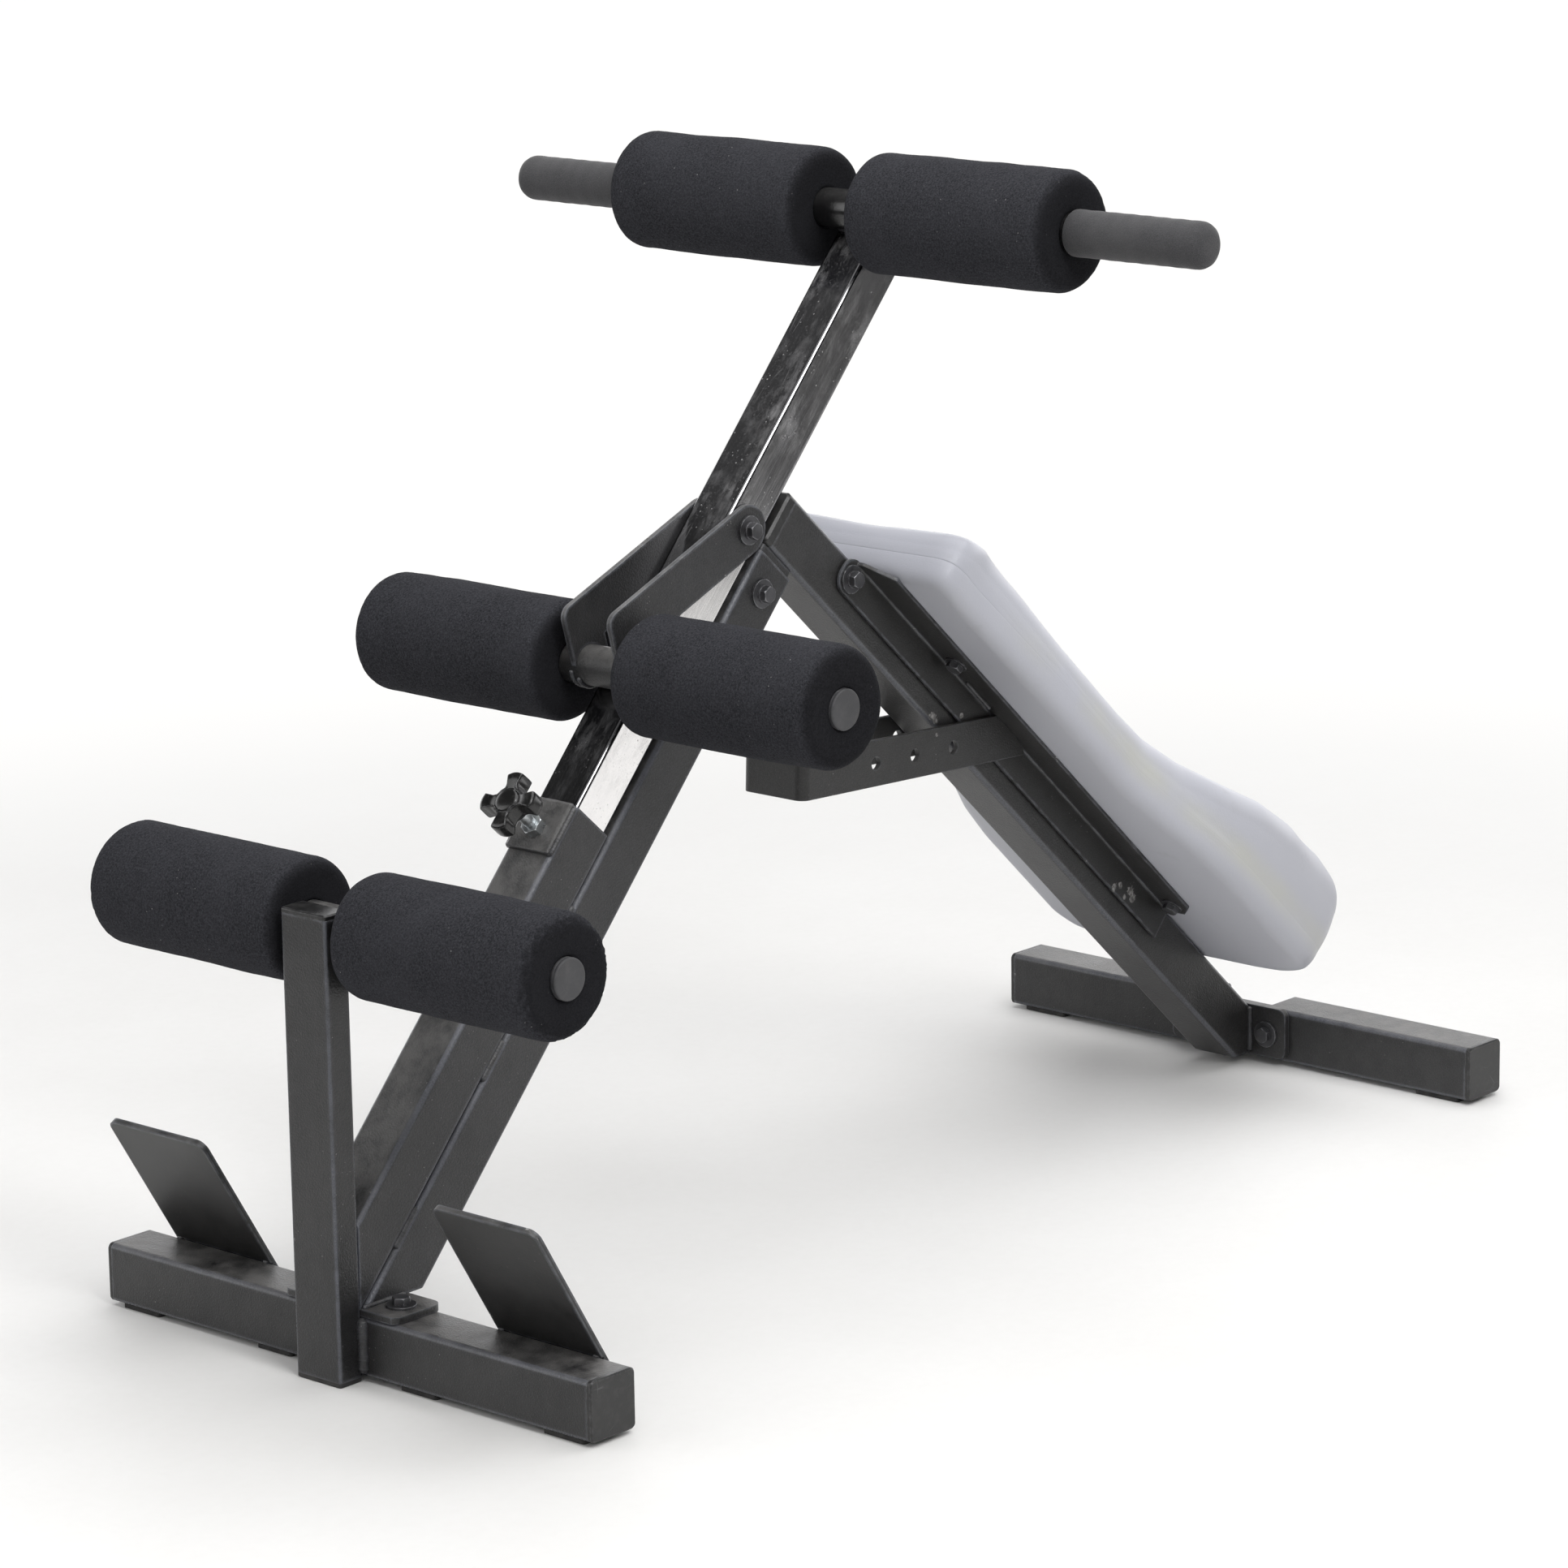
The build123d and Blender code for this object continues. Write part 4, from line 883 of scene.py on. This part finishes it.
def bead(name, body, points, radius, seed):
    """A painted weld: overlapping ripples along a path of row-frame points."""
    spans = [b - a for a, b in zip(points, points[1:])]
    lengths = [span.length for span in spans]
    total = sum(lengths)
    steps = max(8, int(total / BEAD_STEP))
    last = len(spans) - 1
    verts = []
    for i in range(steps + 1):
        travel = total * i / steps
        passed, k = 0.0, 0
        while k < last and passed + lengths[k] < travel:
            passed += lengths[k]
            k += 1
        part = (travel - passed) / lengths[k]
        centre = points[k].lerp(points[k + 1], min(1.0, part))
        # the direction eases from one span into the next
        heading = spans[k].normalized()
        if 0 < k and part < 0.5:
            heading = (heading + spans[k - 1].normalized() * (0.5 - part)).normalized()
        if k < last and part > 0.5:
            heading = (heading + spans[k + 1].normalized() * (part - 0.5)).normalized()
        across = heading.orthogonal().normalized()
        other = heading.cross(across)
        travel_mm = travel * 1000
        ripple = 1.0 + 0.16 * (((travel_mm / RIPPLE_PITCH) % 1.0) ** 0.5 - 0.6)
        uneven = 1 + 0.12 * noise.noise(Vector((travel_mm * 0.14, seed * 3.1, 0)))
        girth = radius * ripple * uneven
        to_end = min(travel_mm, total * 1000 - travel_mm)
        if to_end < radius:
            girth *= math.sqrt(max(0.02, 1 - (1 - to_end / radius) ** 2))
        sway = 0.3 * noise.noise(Vector((travel_mm * 0.1, seed, 5))) * 0.2
        for a in full_turn(BEAD_SEGMENTS):
            spoke = across * (math.cos(a) + sway) + other * math.sin(a)
            verts.append(centre + spoke * girth * MM)
    n = BEAD_SEGMENTS
    faces = ring_faces(steps + 1, n)
    faces.append(tuple(range(n)))
    faces.append(tuple(steps * n + j for j in reversed(range(n))))
    new_mesh(name, verts, faces, "weld", body)


def ankle_arc(start, end, y):
    """Points round the ankle bar's foot, angles in degrees from the mast direction."""
    radius, steps = 17.6, 24
    points = []
    for i in range(steps + 1):
        a = math.radians(start + (end - start) * i / steps)
        p = ANKLE_BAR + (MAST_UP * math.cos(a) + MAST_UNDER * math.sin(a)) * (radius * MM)
        points.append(Vector((p.x, y * MM, p.z)))
    return points


STITCH_LENGTH = 38
STITCH_STARTS = (101, 255, 382)           # along the mast

# Welds on both sides of the frame: name, frame, radius, seed, points on the left side.
# The second coordinate of a point is y in every frame.
SIDE_WELDS = [
    ("post_{}", on_bench, 5.4, 0, ((-0.4, 26.0, 7), (-0.2, 26.6, 30), (-0.4, 26.2, 53))),
    ("footplate_{}", on_bench, 2.6, 2,
     ((51.0, 131, 53.4), (51.2, 185, 53.6), (51.0, 239, 53.4))),
    ("footplate_tack_{}_a", on_bench, 1.6, 3, ((47.0, 130.5, 54.2), (47.0, 137, 54.2))),
    ("footplate_tack_{}_b", on_bench, 1.6, 4, ((47.0, 233, 54.2), (47.0, 239.5, 54.2))),
    ("sleeve_foot_{}", on_bench, 2.2, 5,
     ((1.5, 25.6, 60.4), (14, 25.7, 60.6), (48.5, 25.6, 60.4))),
    *[(f"stitch_{{}}_{k}", on_mast, 2.9, 6 + k,
       ((start, 23.0, -37.0), (start + STITCH_LENGTH / 2, 23.2, -37.0),
        (start + STITCH_LENGTH, 23.0, -37.0))) for k, start in enumerate(STITCH_STARTS)],
    ("collar_{}", on_mast, 2.2, 9, ((438, 24.2, -88.0), (460, 24.5, -88.1), (483, 24.2, -88.0))),
    ("rear_tab_{}", on_bench, 3.0, 11,
     ((1160.6, 25.6, 11), (1160.8, 25.8, 32), (1160.6, 25.4, 54))),
]
BRACKET_WELD = ((183, 35.2, 823.0), (205, 35.4, 822.8), (226, 35.2, 823.0))

# Welds across the middle: name, body, frame, radius, points.
MIDDLE_WELDS = (
    ("low_bar_top", "frame", on_bench, 4.2,
     ((2.0, -23, 376.5), (2.2, 0, 377), (2.0, 23, 376.5))),
    ("low_bar_under", "frame", on_bench, 2.6, ((1.6, -23, 354.5), (1.6, 23, 354.5))),
    ("top_bar_up", "mast", on_mast, 2.6, ((1074.0, -20, -86.4), (1074.0, 20, -86.4))),
    ("top_bar_down", "mast", on_mast, 2.6, ((1055.0, -20, -86.4), (1055.0, 20, -86.4))),
    ("collar_top", "frame", on_mast, 2.1,
     ((484.2, -22, -88.0), (484.4, 0, -88.4), (484.2, 22, -88.0))),
)


def on_side(frame, points, side):
    return [frame(a, side * y, b) for a, y, b in points]


for side, side_name in SIDES:
    for name, frame, radius, seed, points in SIDE_WELDS:
        bead("weld_" + name.format(side_name), "frame", on_side(frame, points, side), radius,
             seed + side)
    bead(f"weld_ankle_in_{side_name}", "ankle_bracket", ankle_arc(20, 200, side * 22.4),
         radius=2.2, seed=12 + side)
    bead(f"weld_ankle_out_{side_name}", "ankle_bracket", ankle_arc(0, 220, side * 28.6),
         radius=2.0, seed=13 + side)
    bead(f"weld_bracket_top_{side_name}", "pad_carrier", on_side(on_pad, BRACKET_WELD, side),
         radius=1.8, seed=14 + side)
for seed, (name, body, frame, radius, points) in enumerate(MIDDLE_WELDS, start=20):
    bead("weld_" + name, body, [frame(*point) for point in points], radius, seed)

# ------------------------------------------------------------------ the pad
# Distance along the pad, half width.
HALF_WIDTH = (
    (14, 95), (18, 108), (30, 113), (60, 111), (120, 113.5), (200, 117), (300, 118), (350, 115),
    (400, 126.5), (450, 142.5), (500, 149.7), (550, 150.5), (600, 150.2), (645, 149.5),
    (668, 137), (678, 112), (681, 80))
# Distance along the pad, height of the top face.
TOP_HEIGHT = (
    (14, 869.6), (60, 879.5), (120, 877), (200, 872.3), (300, 871.4), (350, 875), (400, 879.5),
    (450, 890.3), (500, 903), (550, 910.5), (600, 911), (640, 905.5), (681, 888))
# Distances along the pad, then the roundings there.
TOP_ROUND = ((14, 200, 450, 600, 681), (20, 19, 21, 28, 29))
UNDER_ROUND = ((14, 200, 450, 681), (16, 18, 18, 21))
SEAM_DEPTH = ((25, 110), (1.0, 0.16))
SEAM_GROOVE = ((-0.5, 0.12), (-0.2, 0.55), (0.2, 0.55), (0.5, 0.12), (1.0, -0.05))  # up, inward
SPINE = (118, 515)                        # the rows close in on the centre line between these
PAD_COLUMNS, SIM_COLUMNS = 420, 220
SIM_INSET = 2.5


def outline(n):
    """Plan of the pad as n evenly spaced points (along, y), corners softened."""
    right = [(along, -width) for along, width in HALF_WIDTH]
    left = [(along, width) for along, width in reversed(HALF_WIDTH)]
    # starts on the centre line so both halves match
    corners = [(HALF_WIDTH[0][0], 0.0), *right, (HALF_WIDTH[-1][0], 0.0), *left]
    points = []
    for i in range(len(corners)):
        a, b = np.array(corners[i], float), np.array(corners[(i + 1) % len(corners)], float)
        k = max(1, int(round(np.linalg.norm(b - a))))
        points += [a + (b - a) * j / k for j in range(k)]
    points = np.array(points)
    # Gaussian smoothing round the loop
    taps, spread = 25, 5.5
    kernel = np.exp(-0.5 * ((np.arange(taps) - taps // 2) / spread) ** 2)
    kernel /= kernel.sum()
    smooth = np.zeros_like(points)
    for j, weight in enumerate(kernel):
        smooth += weight * np.roll(points, j - taps // 2, axis=0)
    gaps = np.linalg.norm(np.roll(smooth, -1, axis=0) - smooth, axis=1)
    travelled = np.concatenate([[0], np.cumsum(gaps)])
    even = []
    for i in range(n):
        goal = travelled[-1] * i / n
        k = min(len(gaps) - 1, int(np.searchsorted(travelled, goal, side="right") - 1))
        f = (goal - travelled[k]) / max(gaps[k], 1e-9)
        even.append(smooth[k] * (1 - f) + smooth[(k + 1) % len(smooth)] * f)
    return np.array(even)


def pad_rows(n, fine, inset=0.0):
    """Rows of (along, y, up): out over the underside, up past the seam, in across the top."""
    edge = outline(n)
    spine = np.stack([np.clip(edge[:, 0], *SPINE), np.zeros(n)], axis=1)
    reach = np.linalg.norm(spine - edge, axis=1)
    inward = (spine - edge) / reach[:, None]
    top_round = np.interp(edge[:, 0], *TOP_ROUND)
    under_round = np.interp(edge[:, 0], *UNDER_ROUND)
    top_along, top_up = zip(*TOP_HEIGHT)
    rows = []

    def row(inwards, up):
        inwards = np.broadcast_to(inwards, (n,)) + inset
        q = edge + inward * np.minimum(inwards, reach)[:, None]
        rows.append(np.stack([q[:, 0], q[:, 1], np.broadcast_to(up, (n,))], axis=1))

    def top_at(q):
        return np.interp(q[:, 0], top_along, top_up) + 0.378 * top_round

    for f in np.linspace(0, 1, 15 if fine else 10):
        row(reach - f * (reach - under_round), PAD_BASE_UP)
    # full, soft roll from the underside up to the seam
    roll_top = SEAM_UP - (1.0 if fine else 2.0)
    power = 2 / 2.5
    steps = 16 if fine else 7
    for i in range(1, steps + 1):
        a = math.pi / 2 * i / steps
        rise = 1 - math.cos(a) ** power
        row(under_round * (1 - math.sin(a) ** power),
            PAD_BASE_UP + (roll_top - PAD_BASE_UP) * rise)
    if fine:
        depth = np.interp(edge[:, 0], *SEAM_DEPTH)
        for up, inwards in SEAM_GROOVE:
            row(inwards * depth, SEAM_UP + up)
    else:
        row(0.0, SEAM_UP)
    # slightly bulging wall up to the edge rounding
    wall_top = top_at(edge + inward * top_round[:, None]) - top_round
    steps = 12 if fine else 6
    for i in range(1, steps + 1):
        f = i / steps
        row(-1.6 * np.sin(math.pi * f) * (wall_top - SEAM_UP) / 40.0,
            (SEAM_UP + 1.6) * (1 - f) + wall_top * f)
    for a in np.linspace(0, math.pi / 2, 12 if fine else 6)[1:]:
        row(top_round - top_round * math.cos(a), wall_top + top_round * math.sin(a))
    # crowned top
    steps = 22 if fine else 12
    for i in range(1, steps + 1):
        f = i / steps
        inwards = top_round + (reach - top_round) * f
        q = edge + inward * inwards[:, None]
        row(inwards, top_at(q) + 4.5 * np.sin(math.pi / 2 * f))
    return rows


def pad_mesh(name, rows, n):
    verts = [on_pad(*p) for row in rows for p in row]
    mesh = bpy.data.meshes.new(name)
    mesh.from_pydata([tuple(v) for v in verts], [], ring_faces(len(rows), n))
    bm = bmesh.new()
    bm.from_mesh(mesh)
    bmesh.ops.remove_doubles(bm, verts=bm.verts, dist=0.00005)
    bmesh.ops.dissolve_degenerate(bm, edges=bm.edges, dist=0.00005)
    bmesh.ops.holes_fill(bm, edges=[e for e in bm.edges if e.is_boundary])
    bmesh.ops.recalc_face_normals(bm, faces=bm.faces)
    bm.to_mesh(mesh)
    bm.free()
    return mesh


def coordinates(mesh):
    co = np.zeros(len(mesh.vertices) * 3, np.float32)
    mesh.vertices.foreach_get("co", co)
    return co.reshape(-1, 3).astype(float)


def simulate_pad():
    """Blows a coarse pad up a little as cloth; returns rest points and how far each moved."""
    frames = 20
    largest_move = 0.006
    mesh = pad_mesh("pad_sim", pad_rows(SIM_COLUMNS, False, inset=SIM_INSET), SIM_COLUMNS)
    obj = bpy.data.objects.new("pad_sim", mesh)
    scene.collection.objects.link(obj)
    bpy.context.view_layer.objects.active = obj
    obj.select_set(True)
    remesh = obj.modifiers.new("remesh", "REMESH")
    remesh.mode = "VOXEL"
    remesh.voxel_size = 0.006
    bpy.ops.object.modifier_apply(modifier="remesh")
    rest = coordinates(obj.data)
    # the underside is held, the seam partly
    up = np.array(PAD_UP)
    floor_up = on_pad(0, 0, 829.5).dot(PAD_UP)
    seam_up = on_pad(0, 0, SEAM_UP).dot(PAD_UP)
    held = obj.vertex_groups.new(name="held")
    held.add([i for i, p in enumerate(rest) if p @ up < floor_up], 1.0, "REPLACE")
    held.add([i for i, p in enumerate(rest) if abs(p @ up - seam_up) < 0.004], 0.35, "REPLACE")
    cloth = obj.modifiers.new("cloth", "CLOTH")
    settings = cloth.settings
    settings.quality = 5
    settings.mass = 0.4
    settings.use_pressure = True
    settings.uniform_pressure_force = 4.0
    settings.tension_stiffness = 15
    settings.compression_stiffness = 15
    settings.bending_stiffness = 2.5
    settings.vertex_group_mass = "held"
    settings.effector_weights.gravity = 0.0
    cloth.point_cache.frame_start, cloth.point_cache.frame_end = 1, frames
    for frame in range(1, frames + 1):
        scene.frame_set(frame)
    evaluated = obj.evaluated_get(bpy.context.evaluated_depsgraph_get())
    move = coordinates(evaluated.data) - rest
    size = np.linalg.norm(move, axis=1)
    limit = np.where(size > largest_move, largest_move / np.maximum(size, 1e-9), 1.0)
    move *= limit[:, None]
    bpy.data.objects.remove(obj)
    scene.frame_set(1)
    return rest, move


def spread_moves(points, rest, move):
    """Averages the cloth's moves onto other points, weighted by distance."""
    neighbours, falloff = 28, 0.015
    tree = KDTree(len(rest))
    for i, p in enumerate(rest):
        tree.insert(Vector(p), i)
    tree.balance()
    result = np.zeros_like(points)
    for i, p in enumerate(points):
        total_move, total = np.zeros(3), 0.0
        for _, j, distance in tree.find_n(Vector(p), neighbours):
            weight = math.exp(-(distance / falloff) ** 2)
            total_move += move[j] * weight
            total += weight
        if total > 1e-9:
            result[i] = total_move / total
    return result


def make_pad():
    mesh = pad_mesh("pad_cover", pad_rows(PAD_COLUMNS, True), PAD_COLUMNS)
    co = coordinates(mesh)
    up = np.array(PAD_UP)
    height = co @ up
    base = on_pad(0, 0, PAD_BASE_UP).dot(PAD_UP)
    seam = on_pad(0, 0, SEAM_UP).dot(PAD_UP)
    delta = spread_moves(co, *simulate_pad())
    # the underside stays put and the seam is held back
    lift = np.clip((height - base - 0.003) / 0.008, 0, 1)
    off_seam = 1 - np.exp(-((height - seam) / 0.0035) ** 2)
    co += (delta * 0.45) * (lift * (0.25 + 0.75 * off_seam))[:, None]
    # faint unevenness of a stuffed cover
    for i in range(len(co)):
        if height[i] > base + 0.004:
            p = Vector(co[i])
            swell = 0.0005 * noise.noise(p * 14.0)
            swell += 0.00022 * noise.noise(p * 38.0 + Vector((3, 3, 3)))
            co[i] += up * swell * (1.0 if height[i] > seam + 0.006 else 0.2)
    mesh.vertices.foreach_set("co", co.astype(np.float32).ravel())
    mesh.update()
    mesh.polygons.foreach_set("use_smooth", [True] * len(mesh.polygons))
    mesh.materials.append(MATERIALS["vinyl"])
    obj = bpy.data.objects.new("pad_cover", mesh)
    scene.collection.objects.link(obj)
    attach(obj, "pad_carrier")
    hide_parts("pad_cushion")


make_pad()


# ------------------------------------------------------------------ stage
def floor_material():
    """Pale floor that melts into the white backdrop, and goes dim far out in reflections."""
    g = material_graph("pale_floor")
    is_camera = g.node("ShaderNodeLightPath").outputs["Is Camera Ray"]
    distance = g.length(g.geometry.outputs["Position"])
    fine = g.noise(scale=90.0, detail=4.0, rough=0.6)
    col = g.mix(g.patches(scale=2.2, detail=5.0, rough=0.6, over=(0.3, 0.72)),
                a=(0.785, 0.778, 0.765), b=(0.825, 0.820, 0.810))
    col = g.tint(col, g.ramp(fine, over=(0.4, 0.7)), by=0.10, to=(0.70, 0.69, 0.67))
    near = g.principled(Base_Color=col, Roughness=0.62, Specular_IOR_Level=0.3,
                        Normal=g.bump(fine, strength=0.08, distance=0.0004))
    dim = g.mul(g.ramp(distance, over=(2.2, 3.2), smooth=True), g.sub(1.0, is_camera))
    glow = g.node("ShaderNodeEmission", {"Color": (1.0, 0.995, 0.985),
                                         "Strength": g.mix_value(dim, a=1.02, b=0.07)})
    far = g.maximum(g.ramp(distance, over=(0.9, 2.3), smooth=True), dim)
    both = g.node("ShaderNodeMixShader", {0: far, 1: near, 2: glow.outputs[0]})
    return g.finish(both.outputs[0])


def make_floor():
    half = 40.0
    mesh = bpy.data.meshes.new("floor")
    mesh.from_pydata([(-half, -half, 0), (half, -half, 0), (half, half, 0), (-half, half, 0)],
                     [], [(0, 1, 2, 3)])
    mesh.materials.append(floor_material())
    floor = bpy.data.objects.new("floor", mesh)
    scene.collection.objects.link(floor)


def make_world():
    """White to the camera; otherwise light from low down, brightest behind the bench."""
    scene.world = bpy.data.worlds.new("studio")
    g = Graph(scene.world, "ShaderNodeOutputWorld")
    backdrop = g.node("ShaderNodeBackground", {"Color": (1, 1, 1), "Strength": 1.05})
    direction = g.node("ShaderNodeTexCoord").outputs["Generated"]
    sky = g.node("ShaderNodeValToRGB", {0: g.part(direction, "Z")})
    stops = sky.color_ramp.elements
    stops[0].position, stops[0].color = 0.0, (1.0, 1.0, 1.0, 1)
    stops[1].position, stops[1].color = 1.0, (0.10, 0.10, 0.105, 1)
    # height of the direction, brightness
    for height, grey in ((0.29, 1.0), (0.38, 0.40), (0.50, 0.08), (0.62, 0.028), (0.80, 0.028)):
        stops.new(height).color = (grey, grey, grey * 1.01, 1)
    # the wall behind the bench is bright, the side the camera stands on is dim
    behind = g.dot(direction, (0.746, 0.666, 0.0))
    strength = g.ramp(behind, over=(-0.30, 0.75), to=(0.34, 2.5), smooth=True)
    ambient = g.node("ShaderNodeBackground", {"Color": sky.outputs[0], "Strength": strength})
    is_camera = g.node("ShaderNodeLightPath").outputs["Is Camera Ray"]
    g.finish(g.node("ShaderNodeMixShader", {
        0: is_camera, 1: ambient.outputs[0], 2: backdrop.outputs[0]}).outputs[0])


def area_light(name, place, target, width, depth, power):
    light = bpy.data.lights.new(name, "AREA")
    light.shape = "RECTANGLE"
    light.size, light.size_y = width, depth
    light.energy = power
    obj = bpy.data.objects.new(name, light)
    obj.location = place
    obj.rotation_mode = "QUATERNION"
    obj.rotation_quaternion = (Vector(target) - Vector(place)).to_track_quat("-Z", "Y")
    scene.collection.objects.link(obj)


# name, place, target, width, depth, power in watts
LIGHTS = (
    ("softbox_top", (0.2, -0.4, 3.4), (0, 0, 0), 4.8, 3.6, 134),
    ("softbox_left", (-2.9, 2.2, 1.9), (0, 0, 0.4), 2.2, 2.2, 26),
    ("softbox_key", (-1.1, -2.9, 3.1), (0, 0, 0.4), 1.5, 1.5, 62),
    ("softbox_front", (-3.9, -2.2, 2.3), (0, 0, 0.4), 2.8, 2.8, 26),
)


def make_camera():
    """Long lens from the front right, looking slightly down."""
    yaw, pitch, roll = math.radians(41.771), math.radians(13.385), math.radians(-0.893)
    lens = bpy.data.cameras.new("cam")
    camera = bpy.data.objects.new("cam", lens)
    scene.collection.objects.link(camera)
    lens.sensor_width = 36.0
    lens.sensor_fit = "HORIZONTAL"
    lens.lens = 131.09
    lens.clip_start, lens.clip_end = 0.1, 100
    forward = Vector((math.cos(pitch) * math.cos(yaw), math.cos(pitch) * math.sin(yaw),
                      -math.sin(pitch)))
    right = forward.cross(Vector((0, 0, 1))).normalized()
    up = right.cross(forward)
    rolled_right = right * math.cos(roll) + up * math.sin(roll)
    rolled_up = up * math.cos(roll) - right * math.sin(roll)
    matrix = Matrix((rolled_right, rolled_up, -forward)).transposed().to_4x4()
    matrix.translation = (-3.56511, -3.13693, 1.50183)
    camera.matrix_world = matrix
    scene.camera = camera


make_floor()
make_world()
for light_row in LIGHTS:
    area_light(*light_row)
make_camera()
scene.view_settings.view_transform = "Standard"
scene.view_settings.look = "None"
scene.view_settings.exposure = 0.0
